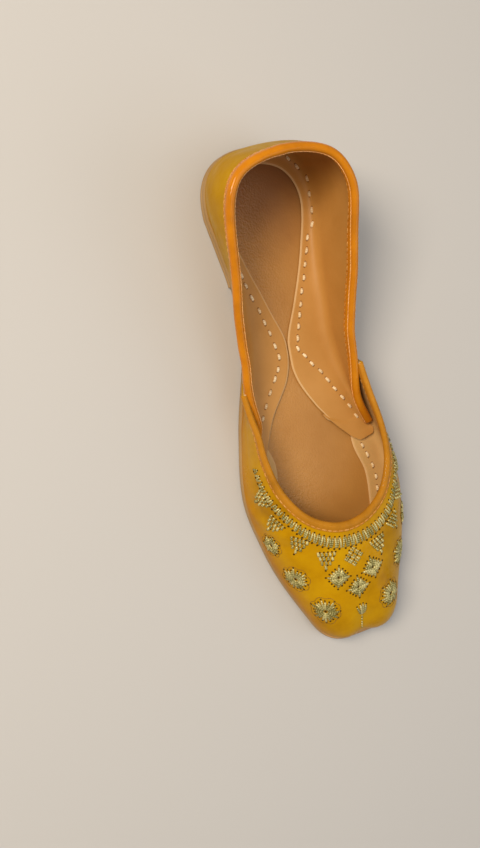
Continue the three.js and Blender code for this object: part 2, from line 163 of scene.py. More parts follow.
soft_box("key_box", (-0.62, 0.42, 0.85), 0.45, 12.0, "#FFF1DF")
soft_box("fill_box", (0.9, -0.5, 0.8), 1.0, 4.0, "#F1F4FF")
soft_box("top_box", (0.05, -0.1, 1.3), 0.8, 4.0, "#FFFFFF")
world = bpy.data.worlds.new("studio")
world.use_nodes = True
world.node_tree.nodes["Background"].inputs["Color"].default_value = colour("#E8E6E2")
world.node_tree.nodes["Background"].inputs["Strength"].default_value = 0.3
bpy.context.scene.world = world
bpy.context.scene.view_settings.view_transform = "Standard"

# %% [markdown]
# ## The last
#
# A last is the wooden foot that a shoe is pulled over. Here it is a handful of tables: the outline of the
# sole, the swing of its middle line, and ribs that climb from the sole's edge to the open edge of the
# shoe, as hoops of a boat do. Smooth curves run through the rows. They are the same measures as those of
# the CAD model, so a piece that is made on them fits its neighbours without being pushed about.

# %% Measures in millimetres
SOLE_LENGTH = 247
BALL_WIDTH = 81.5
WAIST_WIDTH = 47
HEEL_WIDTH = 54.5
TOE_WIDTH = 41
SEAT_WIDTH = 40
THROAT_WIDTH = 63
COLLAR_WIDTH = 60
SWING = 2.5
HEEL_HEIGHT = 2.6
TOE_SPRING = 6
TOE_FLAT = 38
BREAST_FROM_HEEL = 62
SHANK_LENGTH = 76
COLLAR_HEIGHT = 58
THROAT_HEIGHT = 32
JOINT_HEIGHT = 26.5
COLLAR_SLACK = 4
SLACK_START = 6
SOLE_THICKNESS = 3.6
SOLE_LEDGE = 0.5
INSOLE_THICKNESS = 1.8
WALL = 2
OUTER_LEATHER = 0.9
LINING_LEATHER = 1.1
VAMP_FLANGE = 1.2
VAMP_FLANGE_WIDTH = 14
FLANGE_TURN = 2
TUCK_DEPTH = 1.2
SEAM = 0.3
FLANGE_LOW = SEAM + INSOLE_THICKNESS + SEAM
DOME_CROWN = 1.3
DOME_DROP = 1.95
WING_SWELL = 0.8
LEAST_FLANGE = 0.04
HEEL_ROUNDNESS = 0.8

# %% Tables of the last
def table(columns, rows):
    return [dict(zip(columns, row)) for row in rows]


OUTLINE = table(("along", "half", "of"), [
    (0.1174, 0.5, HEEL_WIDTH), (0.19, 0.45, HEEL_WIDTH), (0.251, 0.412, HEEL_WIDTH),
    (0.32, 0.485, WAIST_WIDTH), (0.3927, 0.505, WAIST_WIDTH), (0.5344, 0.415, BALL_WIDTH),
    (0.666, 0.5, BALL_WIDTH), (0.7773, 0.465, BALL_WIDTH), (0.8502, 0.41, BALL_WIDTH),
    (0.9545, 0.575, TOE_WIDTH),
])
SWINGS = table(("along", "sole", "upper"), [
    (0, 0.5, 0.5), (0.1194, 0.4, 0.4), (0.2611, 0.15, 0), (0.3927, -0.4, -0.85),
    (0.4939, -0.5, -0.95), (0.666, 0, 0), (0.8482, 0.6, 0.6), (1, 0.8, 0.8),
])
QUARTER = table(
    ("sole", "top_along", "top_left", "top_right", "rise", "edge_along", "edge_left", "edge_right", "swell",
     "tuck", "lift"),
    [
        (0, 0.0435, 0, 0, 1, 0.0364, 0, 0, 1.8, 0, 0),
        (0.083, 0.0648, 0.71, 0.71, 0.985, 0.0577, 0.71, 0.71, 3.4, 0, 0),
        (0.166, 0.1215, 1, 1, 0.89, 0.1174, 1, 1, 3.3, 0, 0),
        (0.246, 0.2105, 1.04, 0.97, 0.66, 0.2105, 0.74, 0.74, 1.5, 0, 0),
        (0.329, 0.3077, 1.05, 0.91, 0.38, 0.3077, 0.33, 0.33, 0.6, 0, 0),
        (0.391, 0.3806, 1.04, 0.89, 0.17, 0.3806, 0.02, 0.02, 0.5, 0.3, 0),
        (0.45, 0.4494, 1.02, 0.89, 0, 0.4494, 0.16, 0.06, 0.4, 1, 0),
        (0.51, 0.5182, 0.97, 0.88, -0.2, 0.5202, 0.79, 0.42, 0.3, 1, 0.4),
        (0.566, 0.5789, 1.05, 1.07, -0.44, 0.5992, 1.3, 0.95, 0, 1, 1),
    ],
)
VAMP = table(("from_toe", "throat_along", "throat_left", "throat_right", "rise", "dome", "flange"), [
    (0, 0.7368, 0, 0, 1, 1, 1),
    (0.125, 0.7267, 0.345, 0.345, 0.97, 1, 1),
    (0.24, 0.6953, 0.67, 0.67, 0.85, 1, 1),
    (0.345, 0.6407, 0.905, 0.905, 0.6, 0.9, 1),
    (0.425, 0.5729, 1, 1, 0.3, 0.5, 1),
    (0.503, 0.5061, 1.03, 0.98, 0.08, 0.1, 0.04),
    (0.575, 0.4484, 1.06, 0.945, 0, 0, 0.04),
])

# %% Smooth curves through the tables
def hermite(a, b, leaving, arriving, t):
    return (
        (2 * t ** 3 - 3 * t ** 2 + 1) * a
        + (t ** 3 - 2 * t ** 2 + t) * leaving
        + (3 * t ** 2 - 2 * t ** 3) * b
        + (t ** 3 - t ** 2) * arriving
    )


def curve_through(rows, value, at):
    i = 0
    while i < len(rows) - 2 and at > rows[i + 1]["along"]:
        i += 1

    def slope(k):
        before, after = rows[max(0, k - 1)], rows[min(len(rows) - 1, k + 1)]
        return (value(after) - value(before)) / (after["along"] - before["along"])

    step = rows[i + 1]["along"] - rows[i]["along"]
    t = min(1, max(0, (at - rows[i]["along"]) / step))
    return hermite(value(rows[i]), value(rows[i + 1]), slope(i) * step, slope(i + 1) * step, t)


def across(rows, column, at, mirror=1):
    """A smooth curve through a column of ribs that is mirrored about its first row."""
    last = len(rows) - 1

    def value(k):
        kept = max(-last, min(last, k))
        return mirror * rows[-kept][column] if kept < 0 else rows[kept][column]

    i = max(-last, min(last - 1, math.floor(at)))
    leaving = (value(i + 1) - value(i - 1)) / 2
    arriving = (value(i + 2) - value(i)) / 2
    return hermite(value(i), value(i + 1), leaving, arriving, at - i)


def along_to_y(along):
    return SOLE_LENGTH * (0.5 - along)


def swing_at(y, part="upper"):
    return SWING * curve_through(SWINGS, lambda row: row[part], 0.5 - y / SOLE_LENGTH)


def smooth_step(value, low, high):
    t = min(1, max(0, (value - low) / (high - low)))
    return t * t * (3 - 2 * t)


def underside_at(y):
    breast = along_to_y(BREAST_FROM_HEEL / SOLE_LENGTH)
    past = max(0, along_to_y(1) + TOE_FLAT - y) / TOE_FLAT
    return HEEL_HEIGHT * smooth_step(y, breast - SHANK_LENGTH, breast) + TOE_SPRING * past ** 2


def sole_top_at(y):
    return underside_at(y) + SOLE_THICKNESS


# %% The sole's outline
HEEL_STEPS, SIDE_STEPS, TOE_STEPS = 40, 120, 24
EDGE_STEP = 0.012


def half_outline():
    """The right half of the sole's outline: round heel, side from the table, bent toe corner, flat front."""
    points = []
    first, last = OUTLINE[0]["along"], OUTLINE[-1]["along"]
    for i in range(HEEL_STEPS + 1):
        angle = math.pi / 2 * (1 - i / HEEL_STEPS)
        half = max(0, math.cos(angle)) ** HEEL_ROUNDNESS
        reach = SOLE_LENGTH * first * math.sin(angle) ** HEEL_ROUNDNESS
        points.append((HEEL_WIDTH / 2 * half, along_to_y(first) + reach))
    for i in range(1, SIDE_STEPS + 1):
        along = first + (last - first) * i / SIDE_STEPS
        half = curve_through(OUTLINE, lambda row: row["half"] * row["of"], along)
        points.append((half, along_to_y(along)))
    side, corner = points[-1], (TOE_WIDTH * 0.47, along_to_y(0.997))
    front = (TOE_WIDTH * 0.2, along_to_y(1))
    for i in range(1, TOE_STEPS + 1):
        t = i / TOE_STEPS
        bend = [(1 - t) ** 2 * side[k] + 2 * t * (1 - t) * corner[k] + t ** 2 * front[k] for k in (0, 1)]
        points.append(tuple(bend))
    points += [(TOE_WIDTH * 0.1, along_to_y(1)), (0, along_to_y(1))]
    return points


outline = half_outline()
outline_way = [0]
for before, after in zip(outline, outline[1:]):
    outline_way.append(outline_way[-1] + math.dist(before, after))
print("half of the sole's edge is", round(outline_way[-1], 1), "mm long")


def raw_edge(share):
    way = share * outline_way[-1]
    low, high = 0, len(outline_way) - 1
    while high - low > 1:
        middle = (low + high) // 2
        low, high = (middle, high) if outline_way[middle] <= way else (low, middle)
    t = (way - outline_way[low]) / (outline_way[high] - outline_way[low])
    return tuple(outline[low][k] + (outline[high][k] - outline[low][k]) * t for k in (0, 1))


def mirrored_edge(share):
    if share < 0:
        x, y = raw_edge(-share)
        return -x, y
    if share > 1:
        x, y = raw_edge(2 - share)
        return -x, y
    return raw_edge(share)


def edge_at(share, inset, side):
    """A place inside the sole's edge and the way out of the shoe there; share 0 is the heel, 1 the toe."""
    (x0, y0), (x1, y1) = mirrored_edge(share - EDGE_STEP), mirrored_edge(share + EDGE_STEP)
    length = math.hypot(x1 - x0, y1 - y0)
    out = (-(y1 - y0) / length, (x1 - x0) / length)
    x, y = mirrored_edge(share)
    x, y = x - out[0] * inset, y - out[1] * inset
    return Vector((side * x + swing_at(y, "sole"), y)), Vector((side * out[0], out[1]))


# %% [markdown]
# ## Soft dents
#
# A worn shoe isn't as even as its last. The toe has been knocked in a little in the middle, the leather
# has folded at the ball where the foot bends, and the slack walls wave at the waist. Cloth simulation could
# crumple the upper, but not at the places where this one is. So each dent is listed: a line on the
# shoe, how wide the trough or ridge beside it is, and how far and which way the leather is pushed there.
# The last itself is pushed, so that lining, binding and embroidery all follow.

# %% Dents and ridges, in millimetres
DENTS = table(("start", "end", "width", "push"), [
    ((1.5, -123, 9), (1, -113, 18), 5.5, (0, 1.5, -0.5)),
    ((-15, -121, 9), (-12, -108, 19), 7, (0.2, 0.7, -0.4)),
    ((14, -118, 12), (13, -104, 21), 8, (0, -0.4, 0.5)),
    ((-41, -38, 8), (-31, -52, 24), 3.2, (0.5, 0, -0.3)),
    ((-39, -46, 8), (-29, -59, 24), 3.0, (-0.35, 0, 0.25)),
    ((-38, -54, 8), (-28, -66, 24), 3.2, (0.4, 0, -0.25)),
    ((41, -40, 8), (31, -54, 24), 3.4, (-0.5, 0, -0.3)),
    ((39, -49, 8), (29, -62, 24), 3.0, (0.35, 0, 0.25)),
    ((-20, -92, 21), (18, -95, 24), 6, (0, 0, -0.35)),
    ((-35, 2, 8), (-33, -8, 26), 6, (0.8, 0, 0)),
    ((-31, 34, 8), (-31, 24, 36), 7, (0.9, 0, 0)),
    ((-31, 58, 8), (-33, 50, 40), 9, (-0.5, 0, 0)),
    ((30, 36, 8), (28, 26, 38), 7, (-0.8, 0, 0)),
    ((30, 62, 8), (28, 54, 44), 9, (0.5, 0, 0)),
    ((-27, 92, 14), (-28, 88, 50), 8, (0.6, -0.2, 0)),
    ((24, 104, 14), (22, 100, 54), 8, (-0.5, -0.3, 0)),
    ((-9, 121, 12), (-8, 116, 50), 7, (0, -0.5, 0)),
])


DENT_REACH = 2.5


def dented(spot):
    pushed = spot.copy()
    for dent in DENTS:
        start, line = Vector(dent["start"]), Vector(dent["end"]) - Vector(dent["start"])
        t = min(1, max(0, (spot - start).dot(line) / line.length_squared))
        away = (spot - start - line * t).length / dent["width"]
        if away < DENT_REACH:
            pushed += Vector(dent["push"]) * math.exp(-away * away)
    return pushed


# %% Ribs of the quarter and of the vamp
def lean(x, y, z):
    start = HEEL_HEIGHT + SOLE_THICKNESS + SLACK_START
    share = max(0, (z - start) / (COLLAR_HEIGHT - start))
    return dented(Vector((x - COLLAR_SLACK * share, y, z)))


def quarter_rib(at):
    side = -1 if at < 0 else 1
    hand = "left" if at < 0 else "right"
    foot, out = edge_at(
        abs(across(QUARTER, "sole", at, -1)),
        SOLE_LEDGE + max(0, across(QUARTER, "tuck", at)) * TUCK_DEPTH,
        side,
    )
    top_y = along_to_y(across(QUARTER, "top_along", at))
    edge_y = along_to_y(across(QUARTER, "edge_along", at))
    edge_half = max(abs(across(QUARTER, "edge_" + hand, at, -1)) * SEAT_WIDTH / 2, min(SEAM, abs(at)))
    return {
        "foot": foot,
        "out": out,
        "top": (
            across(QUARTER, "top_" + hand, at, -1) * COLLAR_WIDTH / 2 + swing_at(top_y),
            top_y,
            JOINT_HEIGHT + (COLLAR_HEIGHT - JOINT_HEIGHT) * across(QUARTER, "rise", at),
        ),
        "edge": Vector((side * edge_half + swing_at(edge_y), edge_y)),
        "swell": max(0, across(QUARTER, "swell", at)),
        "lift": max(0, across(QUARTER, "lift", at)) * (VAMP_FLANGE + SEAM / 2),
    }


def quarter_face(rib, share):
    low = sole_top_at(rib["foot"].y) + SEAM
    bow = rib["swell"] * 4 * share * (1 - share)
    x = rib["foot"].x + (rib["top"][0] - rib["foot"].x) * share + rib["out"].x * bow
    y = rib["foot"].y + (rib["top"][1] - rib["foot"].y) * share + rib["out"].y * bow
    return lean(x, y, low + (rib["top"][2] - low) * share)


def vamp_rib(at):
    side = -1 if at < 0 else 1
    hand = "left" if at < 0 else "right"
    way = 1 - abs(across(VAMP, "from_toe", at, -1))
    foot, out = edge_at(way, SOLE_LEDGE, side)
    top_y = along_to_y(across(VAMP, "throat_along", at))
    width = max(across(VAMP, "flange", at), LEAST_FLANGE) * VAMP_FLANGE_WIDTH
    return {
        "foot": foot,
        "out": out,
        "top": (
            across(VAMP, "throat_" + hand, at, -1) * THROAT_WIDTH / 2 + swing_at(top_y),
            top_y,
            JOINT_HEIGHT + (THROAT_HEIGHT - JOINT_HEIGHT) * across(VAMP, "rise", at),
        ),
        "edge": edge_at(way, SOLE_LEDGE + WALL + width, side)[0],
        "dome": min(1, max(0, across(VAMP, "dome", at))),
        "lift": 0,
    }


def vamp_face(rib, share):
    low = sole_top_at(rib["foot"].y) + SEAM
    domed = 1 - (1 - share ** DOME_DROP) ** (1 / DOME_CROWN)
    over = rib["dome"] * domed + (1 - rib["dome"]) * share
    bow = (1 - rib["dome"]) * WING_SWELL * 4 * share * (1 - share)
    x = rib["foot"].x + (rib["top"][0] - rib["foot"].x) * over + rib["out"].x * bow
    y = rib["foot"].y + (rib["top"][1] - rib["foot"].y) * over + rib["out"].y * bow
    return lean(x, y, low + (rib["top"][2] - low) * share)


quarter = {"rib": quarter_rib, "face": quarter_face, "reach": len(QUARTER) - 1}
vamp = {"rib": vamp_rib, "face": vamp_face, "reach": len(VAMP) - 1}

# %% Ways on a wall
NEARBY = 0.02
DEPTH_STEPS = 60


def directions(wall, at, share):
    """The way out of a wall, and the way up along it."""
    low, high = max(0, share - NEARBY), min(1, share + NEARBY)
    here = wall["rib"](at)
    up = (wall["face"](here, high) - wall["face"](here, low)).normalized()
    before = wall["rib"](max(-wall["reach"], at - NEARBY))
    after = wall["rib"](min(wall["reach"], at + NEARBY))
    out = (wall["face"](after, share) - wall["face"](before, share)).cross(up).normalized()
    if out.dot(Vector((here["out"].x, here["out"].y, 0.7))) < 0:
        out.negate()
    return out, up


def share_below(wall, rib, depth):
    """The share of the wall's height that lies depth millimetres of leather below its open edge."""
    step = 0.5 / DEPTH_STEPS
    share, way = 1.0, 0.0
    while share > 0.5 and way < depth:
        stride = (wall["face"](rib, share) - wall["face"](rib, share - step)).length
        share -= step * min(1, (depth - way) / stride)
        way += stride
    return share


print("vamp's top at the toe:", [round(v, 1) for v in vamp["face"](vamp["rib"](0), 1)])

# %% [markdown]
# ## Leather on the last
#
# A sheet of leather starts as a flat grid, one column for each rib, and each of its corners is pulled to
# its place on the last, as a maker pulls the wet leather down. Edit-mode tools could push a plane roughly
# into this form, but then the bindings, stitches and flanges that follow the same edge would have nothing
# exact to follow. The Solidify modifier then gives the sheet its thickness and a cut edge of its own
# material.

# %% Helpers for a sheet of leather
WELD = 0.02
SOFT_EDGE = math.radians(50)


def choose(piece):
    bpy.ops.object.select_all(action="DESELECT")
    piece.select_set(True)
    bpy.context.view_layer.objects.active = piece


def pulled_grid(name, columns, rows, place):
    """A flat grid whose corner (u, v), both from 0 to 1, is moved to place(u, v) in millimetres."""
    bpy.ops.mesh.primitive_grid_add(x_subdivisions=columns, y_subdivisions=rows, size=2, location=(0, 0, 0))
    sheet = bpy.context.object
    sheet.name = name
    uv = sheet.data.uv_layers[0].data
    for loop in sheet.data.loops:
        co = sheet.data.vertices[loop.vertex_index].co
        uv[loop.index].uv = ((co.x + 1) / 2, (co.y + 1) / 2)
    for corner in sheet.data.vertices:
        corner.co = place((corner.co.x + 1) / 2, (corner.co.y + 1) / 2) * MM
    return sheet


def add_modifier(piece, kind, **settings):
    made = piece.modifiers.new(kind.lower(), kind)
    for name, value in settings.items():
        setattr(made, name, value)
    choose(piece)
    bpy.ops.object.modifier_apply(modifier=made.name)


def close_body(piece):
    """Merges corners that lie on each other and turns the faces of a closed body outwards."""
    choose(piece)
    bpy.ops.object.mode_set(mode="EDIT")
    bpy.ops.mesh.select_all(action="SELECT")
    bpy.ops.mesh.remove_doubles(threshold=WELD * MM)
    bpy.ops.mesh.dissolve_degenerate(threshold=WELD * MM / 4)
    bpy.ops.mesh.normals_make_consistent(inside=False)
    bpy.ops.object.mode_set(mode="OBJECT")


def faces_towards(piece, sample):
    """Turns an open sheet over if most of its faces look away from the sample direction at each face."""
    wrong = sum(1 if p.normal.dot(sample(p.center / MM)) < 0 else -1 for p in piece.data.polygons)
    if wrong > 0:
        piece.data.flip_normals()


def surface_of(*pieces):
    """A search tree over open sheets, to lay threads on them."""
    corners, faces = [], []
    for piece in pieces:
        first = len(corners)
        corners += [v.co / MM for v in piece.data.vertices]
        faces += [[first + i for i in p.vertices] for p in piece.data.polygons]
    return BVHTree.FromPolygons(corners, faces)


def thicken(sheet, thickness, edge=None):
    """Gives a sheet its thickness, inwards from the side that shows; its cut edge may be undyed."""
    if edge:
        sheet.data.materials.append(edge)
    add_modifier(sheet, "SOLIDIFY", thickness=thickness * MM, offset=-1.0,
                 material_offset_rim=1 if edge else 0)
    bpy.ops.object.shade_smooth_by_angle(angle=SOFT_EDGE)


# %% [markdown]
# ## Main materials
#
# The upper is split leather with a coat of coloured polyurethane, pressed smooth: it gleams where the coat
# is whole, as on the collar's strip, and is satin where it has worn. The dye under the coat is mottled,
# with warmer clouds where the hide took more of it. The inside is plain vegetable-tanned leather, pressed
# with a fine grain on the insole and smooth on the lining. A noise that reads Object coordinates gives the
# clouds, because it runs across seams as dye on one hide does, and a mask made from the height over the
# floor darkens the upper's colour towards the sole.

# %% Coated leather
# Near the floor the upper's colour is mixed with this darker tone: from 16 mm up, at most 55 % of it at 5 mm.
LOW_WALL_TONE = "#A86410"
LOW_TONE_STARTS, LOW_TONE_IS_FULL = 0.016, 0.005
COAT_GRAIN_MM, COAT_WAVE_MM, COAT_RUB_MM = 0.9, 8.0, 14.0


def coated_leather(name, light, middle, dark, cloud_mm, roughness, shine, gleam):
    """Split leather, polyurethane coated: a gleam over clouds of dye, duller where it rubs."""
    made, tree, shader = new_material(
        name, roughness, IOR=1.45, Coat_Weight=gleam, Coat_Roughness=0.07, Coat_IOR=1.35,
        Specular_IOR_Level=shine, Specular_Tint=colour(light),
    )
    place = node(tree, "TexCoord").outputs["Object"]
    clouds = node(
        tree, "TexNoise", {"Scale": 1000 / cloud_mm, "Detail": 4.0, "Roughness": 0.62}, {"Vector": place}
    )
    dye = node(
        tree, "ValToRGB", None, {"Fac": clouds.outputs["Fac"]}, [(0.3, light), (0.7, dark), (0.5, middle)]
    )
    height = node(tree, "SeparateXYZ", None, {"Vector": place}).outputs["Z"]
    low = node(
        tree, "MapRange", {"From Min": LOW_TONE_STARTS, "From Max": LOW_TONE_IS_FULL, "To Min": 0.0, "To Max": 0.55},
        {"Value": height},
    )
    toned_low = node(
        tree, "Mix", {"data_type": "RGBA", 7: colour(LOW_WALL_TONE)},
        {0: low.outputs["Result"], 6: dye.outputs["Color"]},
    )
    tree.links.new(toned_low.outputs[2], shader.inputs["Base Color"])
    # The real grain is 0.3 mm; it is drawn at 0.9 mm so that a pixel of the render can hold it.
    grain = node(
        tree, "TexVoronoi", {"Scale": 1000 / COAT_GRAIN_MM, "Randomness": 1.0}, {"Vector": place}
    )
    waves = node(tree, "TexNoise", {"Scale": 1000 / COAT_WAVE_MM, "Detail": 2.0}, {"Vector": place})
    fine = node(
        tree, "Bump", {"Strength": 0.05, "Distance": 0.0002}, {"Height": grain.outputs["Distance"]}
    )
    broad = node(
        tree, "Bump", {"Strength": 0.22, "Distance": 0.0007},
        {"Height": waves.outputs["Fac"], "Normal": fine.outputs["Normal"]},
    )
    tree.links.new(broad.outputs["Normal"], shader.inputs["Normal"])
    rub = node(
        tree, "TexNoise", {"Scale": 1000 / COAT_RUB_MM, "Detail": 6.0, "Roughness": 0.7}, {"Vector": place}
    )
    gloss = node(
        tree, "MapRange",
        {"From Min": 0.35, "From Max": 0.75, "To Min": roughness * 0.8, "To Max": roughness * 1.7},
        {"Value": rub.outputs["Fac"]},
    )
    tree.links.new(gloss.outputs["Result"], shader.inputs["Roughness"])
    return made


# %% Plain leather
PATCH_MM = 30.0
RAGGED = 0.014
GRAIN_FLAT_AT, GRAIN_KEPT_AT = 0.008, -0.016


def plain_leather(name, light, dark, grain_mm, depth_mm, roughness, wear_and_shade=None, wear_and_shade_from=0.0, wear_and_shade_to=1.0):
    """Vegetable-tanned leather, its grain flattened by rubbing to the right; towards one end it darkens with
    wear, and on the insole's heel seat also with painted shade.
    """
    made, tree, shader = new_material(name, roughness, IOR=1.45, Specular_IOR_Level=0.35)
    place = node(tree, "TexCoord").outputs["Object"]
    patches = node(
        tree, "TexNoise", {"Scale": 1000 / PATCH_MM, "Detail": 5.0, "Roughness": 0.6}, {"Vector": place}
    )
    tone = node(tree, "ValToRGB", None, {"Fac": patches.outputs["Fac"]}, [(0.3, light), (0.7, dark)])
    shown = tone.outputs["Color"]
    # Towards one end the colour darkens: wear, and on the insole's heel seat also painted shade under the
    # collar.
    if wear_and_shade:
        along = node(tree, "SeparateXYZ", None, {"Vector": place}).outputs["Y"]
        ragged = node(
            tree, "MapRange", {"From Min": 0.0, "From Max": 1.0, "To Min": -RAGGED, "To Max": RAGGED},
            {"Value": patches.outputs["Fac"]},
        )
        edge = node(tree, "Math", {"operation": "ADD"}, {0: along, 1: ragged.outputs["Result"]})
        mask = node(
            tree, "MapRange", {"From Min": wear_and_shade_from, "From Max": wear_and_shade_to, "To Min": 0.0, "To Max": 0.8,
                               "interpolation_type": "SMOOTHSTEP"},
            {"Value": edge.outputs["Value"]},
        )
        mixed = node(
            tree, "Mix", {"data_type": "RGBA", 7: colour(wear_and_shade)}, {0: mask.outputs["Result"], 6: shown}
        )
        shown = mixed.outputs[2]
    tree.links.new(shown, shader.inputs["Base Color"])
    grain = node(
        tree, "TexVoronoi", {"Scale": 1000 / grain_mm, "Randomness": 1.0}, {"Vector": place}
    )
    sideways = node(tree, "SeparateXYZ", None, {"Vector": place}).outputs["X"]
    kept = node(
        tree, "MapRange",
        {"From Min": GRAIN_FLAT_AT, "From Max": GRAIN_KEPT_AT, "To Min": 0.12, "To Max": 0.9},
        {"Value": sideways},
    )
    pressed = node(
        tree, "Bump", {"Distance": depth_mm * MM},
        {"Height": grain.outputs["Distance"], "Strength": kept.outputs["Result"]},
    )
    tree.links.new(pressed.outputs["Normal"], shader.inputs["Normal"])
    polish = node(
        tree, "MapRange",
        {"From Min": 0.3, "From Max": 0.7, "To Min": roughness * 0.85, "To Max": roughness * 1.2},
        {"Value": patches.outputs["Fac"]},
    )
    tree.links.new(polish.outputs["Result"], shader.inputs["Roughness"])
    return made


# %% The leathers of this shoe
# The vamp's mustard coat has worn to satin, and its brown clouds show. The heel's hardly gleams at all.
vamp_skin = coated_leather("coated_leather_mustard", "#C4950A", "#B98708", "#A27206", 26, 0.32, 0.12, 0.1)
quarter_skin = coated_leather(
    "coated_leather_mustard_heel", "#BC9204", "#B48604", "#A67606", 45, 0.36, 0.03, 0.03
)
# The collar's orange strip is the best kept coat and gleams most. The throat's has faded and dulled.
collar_skin = coated_leather("coated_leather_orange", "#CC8014", "#C27612", "#B06A12", 18, 0.24, 0.14, 0.5)
throat_skin = coated_leather(
    "coated_leather_faded_orange", "#BE8026", "#B2761E", "#A06A1A", 18, 0.32, 0.12, 0.16
)
# The quarter's lining is smooth and tan. The vamp's was never dyed, so it is pale and a little duller.
lining_skin = plain_leather("smooth_lining_leather", "#C08B45", "#B47F3A", 1.0, 0.02, 0.5)
pale_lining_skin = plain_leather("undyed_lining_leather", "#CDA668", "#C0965A", 1.0, 0.03, 0.55)
# The real grain is 0.6 mm; it is drawn at 1 mm and shows as fine pebbles from a step away.
# Its heel seat is darker: partly a worn stain, partly painted shade under the collar.
insole_skin = plain_leather(
    "grained_insole_leather", "#B58240", "#A87536", 1.0, 0.28, 0.4, "#80522C", 0.062, 0.112
)
# Sole leather is rolled hard and stays matt. Its edges are waxed, which makes them smooth and greyer.
sole_skin = plain_leather(
    "rolled_sole_leather", "#BF9257", "#AE8049", 0.9, 0.05, 0.6, "#8B6236", 0.07, 0.12
)
# Where leather is cut or pared, its undyed fibres show pale and matt.
cut_edge = plain_leather("cut_leather_edge", "#D2AC76", "#C49A64", 0.6, 0.05, 0.65)
sole_edge_skin = plain_leather("waxed_sole_edge", "#AC8A5C", "#98784A", 0.7, 0.05, 0.5)
heel_skin = plain_leather("stacked_heel_leather", "#A47243", "#8E5F36", 0.8, 0.06, 0.6)
print("materials:", len(bpy.data.materials))

# %% [markdown]
# ## Vamp and quarter, outside
#
# The outer leathers run from the sole's edge up to the open edge, where a binding will cover them. A
# search tree of the vamp's outer face is kept from before it is thickened: the embroidery is laid on it.

# %% Outer leathers
def outer_leather(name, wall, columns, rows, material):
    reach = wall["reach"]

    def place(u, v):
        return wall["face"](wall["rib"](reach * (2 * u - 1)), v)

    sheet = pulled_grid(name, columns, rows, place)
    faces_towards(sheet, lambda spot: spot - Vector((0, 0, 12)))
    face = surface_of(sheet)
    sheet.data.materials.append(material)
    thicken(sheet, OUTER_LEATHER)
    print(name, len(sheet.data.polygons), "faces")
    return sheet, face


vamp_leather, vamp_surface = outer_leather("vamp_leather", vamp, 170, 44, vamp_skin)
quarter_leather, _ = outer_leather("quarter_leather", quarter, 170, 32, quarter_skin)

# %% [markdown]
# ## Linings
#
# A lining starts at the open edge, goes down inside the wall and is turned in over the insole as a
# flange, with a soft bend between. Its profile is a line of points for each rib, spaced evenly again so
# that the grid keeps regular faces. The last row slopes down and is pale: there the maker has pared the
# leather thin, and its undyed fibres show as a light line along the flange.

# %% Profile of a lining
SOFT_TURN = FLANGE_TURN * 2.6
WALL_STEPS, TURN_STEPS, FLANGE_STEPS = 24, 6, 12
PARED_WIDTH, PARED_DROP = 0.8, 0.45
# The quarter's right end is cut off: past this rib its flange's edge runs straight to a corner by the tab.
CUT_START, CUT_CORNER = 7, (14.3, -17.4)


def lining_profile(wall, at):
    """Points down inside the wall, round the bend and in over the insole, for the rib with number at."""
    rib = wall["rib"](at)
    low = sole_top_at(rib["foot"].y) + SEAM
    flange_top = FLANGE_LOW + rib["lift"] + LINING_LEATHER
    height = rib["top"][2] - low
    soft = min(SOFT_TURN, height * 0.2)
    turn = min(0.6, (flange_top + soft - SEAM) / height)
    points = []
    for i in range(WALL_STEPS + 1):
        share = 1 - (1 - turn) * i / WALL_STEPS
        out, _ = directions(wall, at, share)
        points.append(wall["face"](rib, share) - out * WALL)
    last = points[-1]
    at_floor = max(0.02, (flange_top - SEAM) / height)
    foot = wall["face"](rib, at_floor) - directions(wall, at, at_floor)[0] * WALL
    edge = rib["edge"]
    if wall is quarter and at > CUT_START:
        edge = quarter_rib(CUT_START)["edge"].lerp(Vector(CUT_CORNER), at - CUT_START)
    run = math.hypot(edge.x - foot.x, edge.y - foot.y)
    bend = min(soft, run * 0.45) / run

    def on(t):
        x, y = foot.x + (edge.x - foot.x) * t, foot.y + (edge.y - foot.y) * t
        return Vector((x, y, sole_top_at(y) + flange_top))

    for i in range(1, TURN_STEPS + 1):
        t = i / TURN_STEPS
        points.append(last * (1 - t) ** 2 + on(0) * (2 * t * (1 - t)) + on(bend) * t ** 2)
    for i in range(1, FLANGE_STEPS + 1):
        points.append(on(bend + (1 - bend) * i / FLANGE_STEPS))
    return points


def even(points, count):
    """The same line in count steps: all are equal but the last, the pared one, which slopes down."""
    way = [0]
    for a, b in zip(points, points[1:]):
        way.append(way[-1] + (b - a).length)
    pared = max(way[-1] - PARED_WIDTH, way[-1] * (count - 1) / count)
    made, i = [], 0
    for k in range(count + 1):
        target = pared * k / (count - 1) if k < count else way[-1]
        while i < len(way) - 2 and target > way[i + 1]:
            i += 1
        t = (target - way[i]) / (way[i + 1] - way[i])
        made.append(points[i].lerp(points[i + 1], t))
    made[-1].z -= PARED_DROP
    return made


# %% Linings
FLANGE_ZONE = 14


def inwards(spot):
    """Up from the flange, and into the shoe from the wall."""
    return Vector((0, 0, 1)) if spot.z < FLANGE_ZONE else Vector((-spot.x, -spot.y * 0.2, 6))


def lining(name, wall, columns, rows, material):
    reach = wall["reach"]
    profiles = [
        even(lining_profile(wall, reach * (2 * i / columns - 1)), rows) for i in range(columns + 1)
    ]
    sheet = pulled_grid(name, columns, rows, lambda u, v: profiles[round(u * columns)][round(v * rows)])
    faces_towards(sheet, inwards)
    face = surface_of(sheet)
    sheet.data.materials.append(material)
    last_row = [p.index for p in sheet.data.polygons if p.index // columns == rows - 1]
    thicken(sheet, LINING_LEATHER, cut_edge)
    for i in last_row:
        sheet.data.polygons[i].material_index = 1
    print(name, len(sheet.data.polygons), "faces,", len(last_row), "of them pared")
    return sheet, face


vamp_lining, vamp_inside = lining("vamp_lining", vamp, 130, 44, pale_lining_skin)
quarter_lining, quarter_inside = lining("quarter_lining", quarter, 180, 46, lining_skin)

